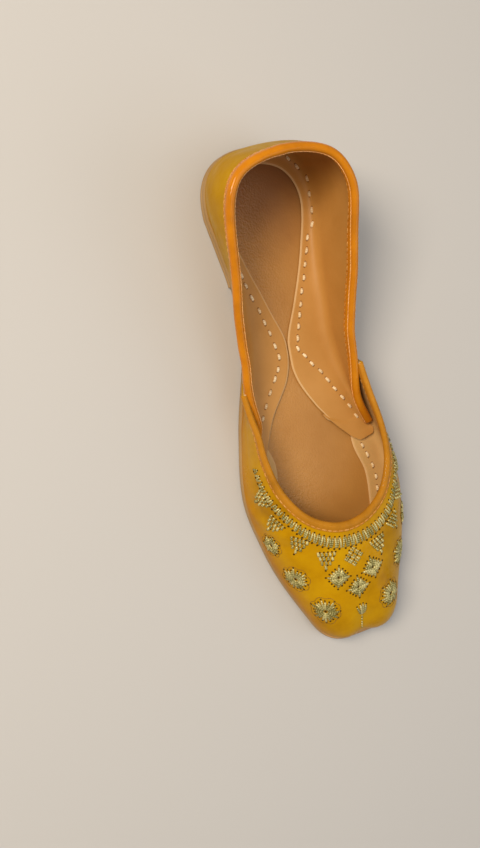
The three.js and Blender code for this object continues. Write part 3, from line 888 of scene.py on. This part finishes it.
# %% [markdown]
# ## The loose tab of the lining
#
# Where the right side of the quarter ends, its lining is a little too long and lies over the vamp's flange
# as a tab with cut corners. It could be part of the lining's grid, but a grid ends in a straight edge. So
# it is a small sheet of its own, stretched from a root line under the flange's skin, out of which it rises,
# to the line of its cuts. Its free right corner lifts a little.

# %% Tab
TAB = table(("along", "root_x", "root_y", "tip_x", "tip_y"), [
    (0, 8.0, -9.5, 14.3, -17.4), (0.3, 14.0, -10.0, 21.2, -25.2), (0.45, 17.0, -10.5, 24.9, -27.6),
    (0.88, 25.0, -11.0, 32.6, -25.8), (1, 28.0, -11.5, 32.8, -22.8),
])
TAB_THICKNESS = 0.9
TAB_LIFT, CORNER_LIFT = 1.4, 0.9


def tab_place(u, v):
    i = next(k for k in range(1, len(TAB)) if u <= TAB[k]["along"] + 1e-6)
    before, after = TAB[i - 1], TAB[i]
    t = (u - before["along"]) / (after["along"] - before["along"])
    root, tip = (
        Vector((before[end + "_x"], before[end + "_y"])).lerp(
            Vector((after[end + "_x"], after[end + "_y"])), t
        )
        for end in ("root", "tip")
    )
    x, y = root.lerp(tip, v)
    lift = TAB_LIFT * smooth_step(v, 0, 0.5) + CORNER_LIFT * u * smooth_step(v, 0.6, 1)
    return Vector((x, y, sole_top_at(y) + FLANGE_LOW + LINING_LEATHER + SEAM + lift))


lining_tab = pulled_grid("lining_tab", 20, 18, tab_place)
faces_towards(lining_tab, lambda spot: Vector((0, 0, 1)))
lining_tab.data.materials.append(lining_skin)
add_modifier(lining_tab, "SMOOTH", factor=0.5, iterations=3)
thicken(lining_tab, TAB_THICKNESS, cut_edge)
print("tab:", [round(v * 1000, 1) for v in lining_tab.dimensions])

# %% [markdown]
# ## Bindings
#
# A strip of coated leather is folded over each open edge and sewn through, close to its lower rims. Its
# section is drawn once as (how far down the leather, how far out of it): a full, rolled edge, a groove
# where the seam pulls it in, and a thin rim, outside and inside. The section is then carried along the
# edge rib by rib, its depth measured along the leather, because on the flat toe the edge of a rib is
# nearly level and a share of its height would make the strip twice too wide.

# %% Bindings
BINDING_SECTION = [
    (5.5, 0.05), (5.45, 0.5), (5.0, 0.75), (4.4, 0.5), (3.9, 0.7), (3.0, 1.05), (1.9, 1.3), (0.8, 1.2),
    (-0.2, 0.75), (-0.8, -0.1), (-0.95, -1.0), (-0.75, -1.8), (-0.1, -2.45), (0.7, -2.65), (1.4, -2.8),
    (2.3, -3.2), (3.3, -3.1), (4.0, -2.72), (4.4, -2.55), (5.0, -2.85), (5.45, -2.6), (5.5, -2.05),
]
SEAM_DEPTH = 4.4
END_LAP = 0.35
COLLAR_FULLNESS, THROAT_FULLNESS = 1.0, 0.76


def beside(wall, at, depth, off):
    """A place depth millimetres below a wall's open edge and off it, with the ways out and up there."""
    share = share_below(wall, wall["rib"](at), max(0, depth))
    out, up = directions(wall, at, share)
    spot = wall["face"](wall["rib"](at), share) + out * off
    return spot + up * max(0, -depth), out, up


def binding(name, wall, columns, fullness, material):
    """A folded strip; fullness 1 is a strip as wide as the CAD model's, a flatter one is narrower too."""
    reach = wall["reach"]
    rows = len(BINDING_SECTION)

    def section(at):
        # The strip's two ends meet on the wall's middle rib, the left one lapped over the right.
        lap = END_LAP * smooth_step(at, -0.3, -0.02) if at < 0 else 0
        points = [
            beside(wall, at, depth * fullness, (off + 1) * fullness - 1 + math.copysign(lap, off + 1))[0]
            for depth, off in BINDING_SECTION
        ]
        return points + points[:1]

    sections = [section(reach * (2 * i / columns - 1)) for i in range(columns + 1)]
    strip = pulled_grid(name, columns, rows, lambda u, v: sections[round(u * columns)][round(v * rows)])
    choose(strip)
    bpy.ops.object.mode_set(mode="EDIT")
    bpy.ops.mesh.select_all(action="SELECT")
    bpy.ops.mesh.remove_doubles(threshold=WELD * MM)
    bpy.ops.mesh.select_all(action="DESELECT")
    bpy.ops.mesh.select_mode(type="EDGE")
    bpy.ops.mesh.select_non_manifold()
    bpy.ops.mesh.fill_holes(sides=0)
    bpy.ops.mesh.select_mode(type="VERT")
    bpy.ops.object.mode_set(mode="OBJECT")
    close_body(strip)
    strip.data.materials.append(material)
    add_modifier(strip, "SUBSURF", levels=1, render_levels=1)
    bpy.ops.object.shade_smooth()
    print(name, len(strip.data.polygons), "faces")
    return strip


collar_strip = binding("collar_strip", quarter, 150, COLLAR_FULLNESS, collar_skin)
throat_strip = binding("throat_strip", vamp, 130, THROAT_FULLNESS, throat_skin)

# %% [markdown]
# ## Insole, outsole and heel lift
#
# These are thick leather, cut flat to the last's outline. A filled outline could be extruded, but its one
# huge face would shade badly on a bent sole. Instead a grid is wrapped round the plate: its columns go
# round the outline, and its rows run from the middle of the underside, over the rounded rim, to the middle
# of the top. The middle is a line from heel to toe, so that no corner of the plate is a sharp fan.

# %% Plates
SHELF_STEPS, BREAST_STEPS = 6, 24
MIDDLE_FROM_TOE, MIDDLE_FROM_HEEL = 14, 20
STEEPEST_FLAT = 0.75


def rim_of(inset, first=-1.0, last=1.0, count=200):
    """Points round the sole's outline, inset from it, between two shares of it; the heel is share 0."""
    points = []
    for i in range(count + 1):
        share = first + (last - first) * i / count
        spot, out = edge_at(abs(share), inset, -1 if share < 0 else 1)
        points.append((spot, out))
    return points


def plate(name, rim, top_at, low_at, rounding, material, edge):
    """A slab between two heights, wrapped in a grid; its rim is rounded and has a material of its own."""
    ys = [spot.y for spot, _ in rim]
    front, back = min(ys) + MIDDLE_FROM_TOE, max(ys) - MIDDLE_FROM_HEEL
    steps = [("low", k / SHELF_STEPS, 0) for k in range(SHELF_STEPS)] + [("low", 1, -rounding)]
    steps += [("rim", 0.15, -rounding * 0.3), ("rim", 0.5, 0), ("rim", 0.85, -rounding * 0.3)]
    steps += [("top", 1, -rounding)] + [("top", k / SHELF_STEPS, 0) for k in reversed(range(SHELF_STEPS))]

    def place(u, v):
        spot, out = rim[round(u * (len(rim) - 1))]
        kind, share, off = steps[round(v * (len(steps) - 1))]
        middle_y = min(back, max(front, spot.y))
        middle = Vector((swing_at(middle_y, "sole"), middle_y))
        rim_spot = spot + out * (off if kind == "rim" or share == 1 else -rounding)
        if kind == "rim":
            x, y = rim_spot
            return Vector((x, y, low_at(y) + (top_at(y) - low_at(y)) * share))
        x, y = middle.lerp(rim_spot, share)
        return Vector((x, y, top_at(y) if kind == "top" else low_at(y)))

    body = pulled_grid(name, len(rim) - 1, len(steps) - 1, place)
    close_body(body)
    body.data.materials.append(material)
    body.data.materials.append(edge)
    for p in body.data.polygons:
        p.material_index = 1 if abs(p.normal.z) < STEEPEST_FLAT else 0
    bpy.ops.object.shade_smooth_by_angle(angle=SOFT_EDGE)
    print(name, len(body.data.polygons), "faces")
    return body


insole_inset = SOLE_LEDGE + TUCK_DEPTH + WALL + SEAM * 3
insole_leather = plate(
    "insole_leather", rim_of(insole_inset), lambda y: sole_top_at(y) + SEAM + INSOLE_THICKNESS,
    lambda y: sole_top_at(y) + SEAM, 0.3, insole_skin, cut_edge,
)
outsole_leather = plate(
    "outsole_leather", rim_of(0), sole_top_at, underside_at, 0.6, sole_skin, sole_edge_skin,
)

# %% Heel lift
breast_y = along_to_y(BREAST_FROM_HEEL / SOLE_LENGTH) + SEAM
breast_share = next(s / 1000 for s in range(1000) if raw_edge(s / 1000)[1] < breast_y)
heel_rim = rim_of(0, -breast_share, breast_share, 120)
(left_end, _), (right_end, _) = heel_rim[0], heel_rim[-1]
for i in range(1, BREAST_STEPS):
    heel_rim.append((right_end.lerp(left_end, i / BREAST_STEPS), Vector((0, -1))))
heel_rim.append(heel_rim[0])
heel_leather = plate(
    "heel_leather", heel_rim, lambda y: HEEL_HEIGHT - SEAM, lambda y: 0.0, 0.5, heel_skin, sole_edge_skin,
)

# %% [markdown]
# ## Thread
#
# A stitch is a short tube of twisted thread that dips into the leather at both ends. It is modelled once:
# a small circle is extruded in four steps and swells in the middle. Every stitch of a seam is then laid
# from it in code, bent over the surface under it, and all of them are joined in one mesh, because an Array
# modifier could only repeat them at even steps. Each keeps a tone of its own as an attribute, which the
# material reads, so that no two threads catch the light alike.

# %% One stitch
def shape_of(piece):
    """Turns a small model's faces outwards, takes down its corners and faces, and removes it."""
    bpy.ops.mesh.select_all(action="SELECT")
    bpy.ops.mesh.normals_make_consistent(inside=False)
    bpy.ops.object.mode_set(mode="OBJECT")
    shape = [tuple(v.co) for v in piece.data.vertices], [tuple(p.vertices) for p in piece.data.polygons]
    bpy.data.objects.remove(piece, do_unlink=True)
    return shape


def model_stitch():
    bpy.ops.mesh.primitive_circle_add(vertices=6, radius=0.5, fill_type="NGON", location=(0, 0, 0))
    stitch = bpy.context.object
    bpy.ops.object.mode_set(mode="EDIT")
    bpy.ops.mesh.select_all(action="SELECT")
    bpy.ops.transform.resize(value=(0.45, 0.45, 1))
    for rise, swell in ((0.12, 1.95), (0.38, 1.12), (0.38, 0.9), (0.12, 0.5)):
        bpy.ops.mesh.extrude_region_move(TRANSFORM_OT_translate={"value": (0, 0, rise)})
        bpy.ops.transform.resize(value=(swell, swell, 1))
    return shape_of(stitch)


def model_prick():
    """A needle hole's painted shade: a flat, dark, eight-sided button."""
    bpy.ops.mesh.primitive_cylinder_add(vertices=8, radius=0.5, depth=1, location=(0, 0, 0))
    button = bpy.context.object
    bpy.ops.object.mode_set(mode="EDIT")
    return shape_of(button)


STITCH_SHAPE, PRICK_SHAPE = model_stitch(), model_prick()
print("a stitch has", len(STITCH_SHAPE[1]), "faces, a prick", len(PRICK_SHAPE[1]))
random.seed(7)

# %% Sewing
FLATTENED = 0.8


def seam_kit():
    return {"corners": [], "faces": [], "tones": [], "ways": []}


def lay_stitch(kit, surface, start, end, width, rise, sink=0.1):
    """Lays one thread from start to end over a surface; it arches up by rise and sinks in at its ends."""
    first, tone = len(kit["corners"]), random.random()
    length = (end - start).length
    along = (end - start).normalized()
    for x, y, t in STITCH_SHAPE[0]:
        spot = start.lerp(end, t)
        foot, out, _, _ = surface.find_nearest(spot)
        side = out.cross(along).normalized()
        arch = rise * (1 - (2 * t - 1) ** 4) - sink
        kit["corners"].append((foot + out * (arch + y * width * FLATTENED) + side * (x * width)) * MM)
        kit["ways"].append((math.atan2(y, x) / math.tau + 0.5, t * length))
        kit["tones"].append(tone)
    kit["faces"] += [[first + i for i in face] for face in STITCH_SHAPE[1]]


def lay_prick(kit, surface, spot, width, thick=0.14):
    """Lays a needle hole's painted shade flat on a surface."""
    first = len(kit["corners"])
    foot, out, _, _ = surface.find_nearest(spot)
    side = out.orthogonal().normalized()
    other = out.cross(side)
    for x, y, z in PRICK_SHAPE[0]:
        kit["corners"].append((foot + side * (x * width) + other * (y * width) + out * (z * thick)) * MM)
        kit["ways"].append((x, y))
        kit["tones"].append(0.5)
    kit["faces"] += [[first + i for i in face] for face in PRICK_SHAPE[1]]


def sew(name, kit, material, smooth=True):
    """Joins all that was laid in a kit to one mesh, with its tones and its way along each thread."""
    mesh = bpy.data.meshes.new(name)
    mesh.from_pydata(kit["corners"], [], kit["faces"])
    tones = mesh.attributes.new("tone", "FLOAT", "POINT")
    tones.data.foreach_set("value", kit["tones"])
    layer = mesh.uv_layers.new(name="thread_way")
    for loop in mesh.loops:
        layer.data[loop.index].uv = kit["ways"][loop.vertex_index]
    piece = bpy.data.objects.new(name, mesh)
    bpy.context.collection.objects.link(piece)
    mesh.materials.append(material)
    choose(piece)
    if smooth:
        bpy.ops.object.shade_smooth_by_angle(angle=math.radians(60))
    print(name, len(mesh.polygons), "faces")
    return piece


# %% Threads
def thread(name, dark, light, twist_mm, metallic, roughness):
    """Twisted thread: slanting strands of twist_mm and a tone for each stitch; gold thread also glints."""
    made, tree, shader = new_material(name, roughness, Metallic=metallic, Specular_IOR_Level=0.4)
    tone = node(tree, "Attribute", {"attribute_name": "tone"}).outputs["Fac"]
    way = node(tree, "UVMap", {"uv_map": "thread_way"}).outputs["UV"]
    strands = node(
        tree, "Mapping", {"Scale": (1.0, 1 / twist_mm, 1.0), "Rotation": (0, 0, 0.6)}, {"Vector": way}
    )
    twist = node(
        tree, "TexWave", {"wave_type": "BANDS", "bands_direction": "Y", "Scale": 0.32, "Distortion": 0.4},
        {"Vector": strands.outputs["Vector"]},
    )
    mixed = node(tree, "Math", {"operation": "MULTIPLY_ADD", 1: 0.45}, {0: twist.outputs["Fac"]})
    spread = node(tree, "Math", {"operation": "MULTIPLY", 1: 0.55}, {0: tone})
    tree.links.new(spread.outputs["Value"], mixed.inputs[2])
    shade = node(tree, "ValToRGB", None, {"Fac": mixed.outputs["Value"]}, [(0.1, dark), (0.85, light)])
    tree.links.new(shade.outputs["Color"], shader.inputs["Base Color"])
    ridge = node(tree, "Bump", {"Strength": 0.5, "Distance": 0.0001}, {"Height": twist.outputs["Fac"]})
    tree.links.new(ridge.outputs["Normal"], shader.inputs["Normal"])
    return made


def hole_shade_material(name, dark, light):
    """Painted shade in a needle hole: dark, matt and a little uneven."""
    made, tree, shader = new_material(name, 0.9, Specular_IOR_Level=0.1)
    place = node(tree, "TexCoord").outputs["Object"]
    fibres = node(tree, "TexNoise", {"Scale": 1000 / 0.5, "Detail": 2.0}, {"Vector": place})
    shade = node(tree, "ValToRGB", None, {"Fac": fibres.outputs["Fac"]}, [(0.35, dark), (0.7, light)])
    tree.links.new(shade.outputs["Color"], shader.inputs["Base Color"])
    return made


# Real twist is 0.4 mm; it is drawn at 0.9 mm so that it shows.
gold_thread = thread("gold_twisted_thread", "#706728", "#D0C382", 0.9, 0.3, 0.36)
cotton_thread = thread("waxed_cotton_thread", "#D2B280", "#F3DEB4", 0.9, 0.0, 0.6)
seam_thread = thread("orange_seam_thread", "#B9741C", "#D8A255", 0.8, 0.0, 0.5)
# The pale line on the collar strip's first fold: partly the fold's pared edge, partly a painted highlight.
fold_and_highlight_thread = thread("pared_binding_fold_and_painted_highlight", "#E0994A", "#F2BC7A", 0.8, 0.0, 0.35)
outline_thread = thread("dark_backstitch_thread", "#74500A", "#9C7012", 0.8, 0.0, 0.5)
# Needle holes are dark discs: painted shade in the holes.
dark_hole_shade = hole_shade_material("painted_shade_of_needle_holes", "#3C2806", "#5C400C")
tan_hole_shade = hole_shade_material("painted_shade_of_lining_holes", "#83582B", "#966633")

# %% [markdown]
# ## Running stitches of the flanges
#
# The flanges are sewn down through the insole with long cream stitches. Even steps along the edge would be
# less work, but a hand-sewn row wanders, so their places were read off the real shoe, stitch by stitch. The
# part of the left row that the collar hides follows the right one. Each stitch is laid towards its next
# neighbour. The last two of the right row hold the tab, and both ends of each are given.

# %% Rows of running stitches
RIGHT_ROW = [
    (19.1, 114.1), (22.6, 109.5), (25.9, 103), (25.9, 95.8), (25.2, 88.1), (23.8, 81.5), (20.2, 76),
    (18.2, 70.1), (15.8, 63.9), (13.7, 57.8), (11, 51.8), (9, 45.8), (7.3, 41), (5.5, 35.7), (3.8, 30.2),
    (2.8, 25.3), (5.6, 21.1), (8.4, 16.3), (12.2, 11.5), (14.9, 6.4), (17.6, 1.2), (20.6, -4.1),
]
LEFT_ROW = [
    (-17.0, 113.0), (-20.6, 108.6), (-23.4, 102), (-23.6, 95.2), (-22.8, 88.4), (-21.6, 82), (-20.2, 77),
    (-18.8, 72.1), (-17.4, 65.8), (-16.5, 60.6), (-14.9, 54.3), (-12.7, 47.6), (-11.4, 41.6),
    (-9.9, 36.1), (-8.7, 29.4), (-7.8, 23.8), (-9.7, 18), (-12.4, 13.9), (-16.3, 8.2), (-20, 2.3),
    (-23.1, -3.1),
]
END_STITCHES = [((22.7, -8.0), (24.0, -10.5)), ((25.0, -13.8), (26.2, -16.4))]
VAMP_ROW = [(25.9, -30.8), (27.5, -36.1), (29.1, -42.2), (29.6, -48.4), (28.9, -54.4), (26.6, -60.2)]
COTTON_LENGTH, COTTON_WIDTH, COTTON_RISE = 2.9, 1.45, 0.45
COTTON_HOLE, COTTON_HOLE_THICKNESS = 1.15, 0.06
ABOVE_QUARTER_FLANGE, ABOVE_VAMP_FLANGE, ABOVE_TAB = 16, 14, 12


def dropped(surface, x, y, height):
    """The place on an inside surface straight below a height."""
    hit, _, _, _ = surface.ray_cast(Vector((x, y, height)), Vector((0, 0, -1)))
    return hit if hit else Vector((x, y, 10))


def running_row(threads, holes, surface, row, height):
    for i, (x, y) in enumerate(row):
        ahead, behind = row[min(i + 1, len(row) - 1)], row[max(i - 1, 0)]
        way = Vector((ahead[0] - behind[0], ahead[1] - behind[1])).normalized()
        way.rotate(Matrix.Rotation(random.uniform(-0.12, 0.12), 2))
        half = COTTON_LENGTH / 2 * random.uniform(0.85, 1.1)
        start = dropped(surface, x - way.x * half, y - way.y * half, height)
        end = dropped(surface, x + way.x * half, y + way.y * half, height)
        lay_stitch(threads, surface, start, end, COTTON_WIDTH, COTTON_RISE)
        for spot in (start, end):
            lay_prick(holes, surface, spot, COTTON_HOLE, COTTON_HOLE_THICKNESS)


cotton, cotton_hole_shade = seam_kit(), seam_kit()
for row in (RIGHT_ROW, LEFT_ROW):
    running_row(cotton, cotton_hole_shade, quarter_inside, row, ABOVE_QUARTER_FLANGE)
end_surface = surface_of(quarter_lining, lining_tab)
for ends in END_STITCHES:
    start, end = (dropped(end_surface, x, y, ABOVE_TAB) for x, y in ends)
    lay_stitch(cotton, end_surface, start, end, COTTON_WIDTH, COTTON_RISE)
for row in (VAMP_ROW, [(-x, y) for x, y in VAMP_ROW]):
    running_row(cotton, cotton_hole_shade, vamp_inside, row, ABOVE_VAMP_FLANGE)
running_stitches = sew("running_stitches", cotton, cotton_thread)
# The discs at each stitch's ends are painted shade in the dimples where the thread goes in.
running_hole_shade = sew("running_hole_shade", cotton_hole_shade, tan_hole_shade, smooth=False)

# %% [markdown]
# ## Seams of the bindings
#
# A machine has sewn through both bindings, in the groove that was left for it in their section. The seam
# is walked along at even steps of 2.9 mm, outside and inside. The collar's strip is folded twice, and its
# first fold shows inside as one thin, pale, gleaming line without gaps, which is partly the fold itself and
# partly a painted highlight: the same walk, its steps overlapped.

# %% Binding seams
WALK_STEP = 0.03
STITCH_GAP = 0.12
SEAM_PITCH, SEAM_WIDTH, SEAM_RISE = 2.9, 0.62, 0.28
FOLD_DEPTH, FOLD_PITCH, FOLD_WIDTH = 0.75, 2.0, 0.5
OUTSIDE, INSIDE = 0.55, -2.6


def walk(wall, depth, off, pitch, reach):
    """Rib numbers at even steps along a line below the wall's open edge."""
    stops, way, goal = [], 0.0, 0.0
    at, last = -reach, None
    while at < reach:
        spot = beside(wall, at, depth, off)[0]
        way += (spot - last).length if last else 0
        if way >= goal:
            stops.append(at)
            goal += pitch
        last, at = spot, at + WALK_STEP
    return stops


def seam_along(kit, wall, strip, depth, off, pitch, width, gap=STITCH_GAP):
    """Sews along a strip; gap is the share of a step that is left free at each end of a stitch."""
    ground = surface_of(strip)
    stops = walk(wall, depth, off, pitch, wall["reach"] - 0.05)
    for a, b in zip(stops, stops[1:]):
        start = beside(wall, a + (b - a) * gap, depth, off)[0]
        end = beside(wall, b - (b - a) * gap, depth, off)[0]
        lay_stitch(kit, ground, start, end, width, SEAM_RISE)


binding_kit = seam_kit()
for wall, strip, full in ((quarter, collar_strip, COLLAR_FULLNESS), (vamp, throat_strip, THROAT_FULLNESS)):
    for off in (OUTSIDE, INSIDE):
        seam_along(binding_kit, wall, strip, SEAM_DEPTH * full, off, SEAM_PITCH, SEAM_WIDTH)
binding_seams = sew("binding_seams", binding_kit, seam_thread)
# This pale line along the collar's first fold is partly a painted highlight.
fold_and_highlight_kit = seam_kit()
seam_along(fold_and_highlight_kit, quarter, collar_strip, FOLD_DEPTH, INSIDE, FOLD_PITCH, FOLD_WIDTH, -STITCH_GAP)
binding_fold_and_painted_highlight = sew("binding_fold_and_painted_highlight", fold_and_highlight_kit, fold_and_highlight_thread)

# %% [markdown]
# ## Embroidery of the vamp
#
# Gold thread is drawn through needle holes, and the shade in each hole is painted as a small dark disc.
# There are five motifs: a band of satin stitch beside the throat, triangles that point to the toe, squares
# on their corners, a bud on a stem, and star flowers with a thin scalloped outline. Each motif is charted
# flat, in millimetres across and towards the throat, and is then laid on the dome: its middle has a rib
# number and a share of the rib's height.

# %% A chart's place on the vamp
SLIP = 0.2


def motif_ground(at, share, turn=0.0):
    """Turns places on a flat chart (across, towards the throat) into places on the vamp."""
    out, up = directions(vamp, at, share)
    middle = vamp["face"](vamp["rib"](at), share)
    side = up.cross(out).normalized()
    cos, sin = math.cos(turn), math.sin(turn)

    def on(across_mm, up_mm):
        a, b = across_mm * cos - up_mm * sin, across_mm * sin + up_mm * cos
        return vamp_surface.find_nearest(middle + side * a + up * b)[0]

    return on


def gold(on, start, end, width, rise):
    """One gold thread; a hand never sets it quite where the chart says, and it slips by a bit."""
    start, end = ([value + random.uniform(-SLIP, SLIP) for value in spot] for spot in (start, end))
    lay_stitch(gold_kit, vamp_surface, on(*start), on(*end), width * random.uniform(0.85, 1.1), rise)


def prick(on, spot, width):
    lay_prick(hole_shade_kit, vamp_surface, on(*spot), width)


gold_kit, hole_shade_kit, outline_kit = seam_kit(), seam_kit(), seam_kit()

# %% Band of satin stitch
BAND = table(("along", "near", "far"), [
    (-4.3, 9.5, 12.5), (-3.8, 9.0, 12.2), (-3.2, 7.6, 10.8), (-2.5, 6.2, 9.9), (-1.8, 6.0, 10.6),
    (-1, 6.6, 11.9), (0, 6.6, 12.2), (0.9, 7.4, 12.6), (1.5, 8.0, 12.8), (2.2, 7.6, 12.0), (3.0, 7.8, 11.2),
    (3.8, 9, 12.2), (4.3, 9.5, 12.5),
])
BAND_DEPTH, BAND_PITCH = 9.0, 1.35
BAND_LEFT, BAND_RIGHT = -3.85, 4.25
band_stops = [at for at in walk(vamp, BAND_DEPTH, 0.0, BAND_PITCH, BAND_RIGHT) if at > BAND_LEFT]
for i, at in enumerate(band_stops):
    near = curve_through(BAND, lambda row: row["near"], at)
    far = curve_through(BAND, lambda row: row["far"], at)
    pair = 0.022 if i % 2 else -0.022
    inner = beside(vamp, at - pair * 0.6, near, 0)[0]
    outer = beside(vamp, at + pair, far, 0)[0]
    lay_stitch(gold_kit, vamp_surface, inner, outer, 1.0, 0.55)
    if i % 2:
        lay_prick(hole_shade_kit, vamp_surface, beside(vamp, at - 0.03, far + 0.3, 0)[0], 1.15)
        lay_prick(hole_shade_kit, vamp_surface, beside(vamp, at - 0.03, near - 0.35, 0)[0], 0.9)
print("threads in the band:", len(band_stops))

# %% Triangles and the top square
TRIANGLES = [
    (-3.16, 0.55, 0), (-2.58, 0.617, 0), (-1.86, 0.783, 0), (-0.96, 0.858, 0.1), (0.74, 0.875, -0.1),
    (1.60, 0.792, 0), (2.35, 0.69, 0), (3.0, 0.58, 0),
]
TRIANGLE_ROW, TRIANGLE_COLUMN = 2.35, 1.95
SQUARE_CELL = 2.7


def triangle(at, share, turn):
    """Rows of five, four, three and one upright threads, with a hole beside each and one at the tip."""
    on = motif_ground(at, share, turn)
    for row, count in enumerate((5, 4, 3, 1)):
        top = 4.2 - row * TRIANGLE_ROW
        for k in range(count):
            a = (k - (count - 1) / 2) * TRIANGLE_COLUMN
            prick(on, (a + 0.9, top + 0.15), 0.95)
            gold(on, (a - 0.1, top + 0.1), (a + 0.35, top - 2.1), 1.35, 0.5)
    prick(on, (0, -5.6), 1.1)


def stitched_square(at, share, turn):
    """Nine cells of two threads, with a hole at the corner of each."""
    on = motif_ground(at, share, turn)
    for i in range(3):
        for k in range(3):
            a, b = (i - 1) * SQUARE_CELL, (k - 1) * SQUARE_CELL
            for top, low in ((-0.55, -0.45), (0.5, 0.6)):
                gold(on, (a + top, b + 1.1), (a + low, b - 1.1), 1.15, 0.48)
            prick(on, (a + 1.35, b + 1.35), 0.95)


for row in TRIANGLES:
    triangle(*row)
stitched_square(-0.10, 0.90, math.pi / 4)

# %% Squares of rays, bud and stem
RAYS, RAY_HALF = 16, 4.3


def ray_square(at, share):
    """Sixteen threads from the middle to holes round a square that stands on its corner."""
    on = motif_ground(at, share, math.pi / 4)
    for k in range(RAYS):
        angle = math.tau * k / RAYS
        reach = RAY_HALF / max(abs(math.cos(angle)), abs(math.sin(angle)))
        ray = (math.cos(angle), math.sin(angle))
        gold(on, (ray[0] * 0.7, ray[1] * 0.7), (ray[0] * reach * 0.95, ray[1] * reach * 0.95), 1.55, 0.6)
        prick(on, (ray[0] * (reach + 0.35), ray[1] * (reach + 0.35)), 1.05)
    prick(on, (0, 0), 1.2)


for place in ((-0.54, 0.808), (0.34, 0.817), (-0.08, 0.742)):
    ray_square(*place)

on = motif_ground(-0.06, 0.558)
for k, (a, top, low) in enumerate(((-2.4, 2.2, -2.6), (-0.8, 3.3, -3.4), (0.8, 3.3, -3.4), (2.4, 2.2, -2.6))):
    gold(on, (a, top), (a * 0.35, low), 1.3, 0.55)
    prick(on, (a * 1.08, top + 0.4), 0.95)
for k in range(5):
    gold(on, (0.05 * k, -4.6 - 1.9 * k), (0.05 * k, -5.9 - 1.9 * k), 1.0, 0.4)

# %% Star flowers
FLOWERS = [
    (-0.76, 0.492, 7.2), (-1.56, 0.442, 6.6), (0.56, 0.55, 6.9), (1.32, 0.517, 6.6), (-2.3, 0.34, 5.2),
    (2.1, 0.4, 5.8),
]
FLOWER_RAYS, FLOWER_TURN = 20, 0.2
SCALLOPS, SCALLOP_STEPS = 8, 48


def flower(at, share, radius):
    """Long and short rays round a needle hole in the middle, its shade painted dark, and an outline of eight
    scallops round them.
    """
    on = motif_ground(at, share, FLOWER_TURN)
    for k in range(FLOWER_RAYS):
        angle = math.tau * (k + random.uniform(-0.15, 0.15)) / FLOWER_RAYS
        reach = radius * (1.02 if k % 3 == 0 else 0.84) * random.uniform(0.94, 1.04)
        ray = (math.cos(angle), math.sin(angle))
        gold(on, ray, (ray[0] * reach, ray[1] * reach), 1.25, 0.6)
        prick(on, (ray[0] * (reach + 0.4), ray[1] * (reach + 0.4)), 1.0)
    prick(on, (0, 0), 1.4)
    last = None
    for k in range(SCALLOP_STEPS + 1):
        angle = math.tau * k / SCALLOP_STEPS
        reach = radius + 0.3 + 1.1 * abs(math.sin(angle * SCALLOPS / 2))
        spot = on(math.cos(angle) * reach, math.sin(angle) * reach)
        if last:
            lay_stitch(outline_kit, vamp_surface, last, spot, 0.34, 0.14, 0.05)
        last = spot


for row in FLOWERS:
    flower(*row)

gold_embroidery = sew("gold_embroidery", gold_kit, gold_thread)
# Each hole's dark disc is painted shade.
embroidery_hole_shade = sew("embroidery_hole_shade", hole_shade_kit, dark_hole_shade, smooth=False)
flower_outlines = sew("flower_outlines", outline_kit, outline_thread)

# %% [markdown]
# ## Put the pieces in the shoe
#
# Each finished piece has its transforms applied and is set to ride on the shoe's only body. The CAD nodes
# that the pieces take the place of are hidden.

# %% Put the pieces in the shoe
def finish(piece):
    choose(piece)
    bpy.ops.object.transform_apply(location=True, rotation=True, scale=True)
    piece.select_set(False)
    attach(piece, "root")


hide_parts("upper")
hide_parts("collar_binding")
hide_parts("throat_binding")
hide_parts("insole")
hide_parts("outsole")
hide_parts("heel_lift")
for piece in (vamp_leather, quarter_leather, vamp_lining, quarter_lining, lining_tab):
    finish(piece)
finish(collar_strip)
finish(throat_strip)
finish(insole_leather)
finish(outsole_leather)
finish(heel_leather)
for piece in (
    running_stitches, running_hole_shade, binding_seams, binding_fold_and_painted_highlight, gold_embroidery, embroidery_hole_shade,
    flower_outlines,
):
    finish(piece)
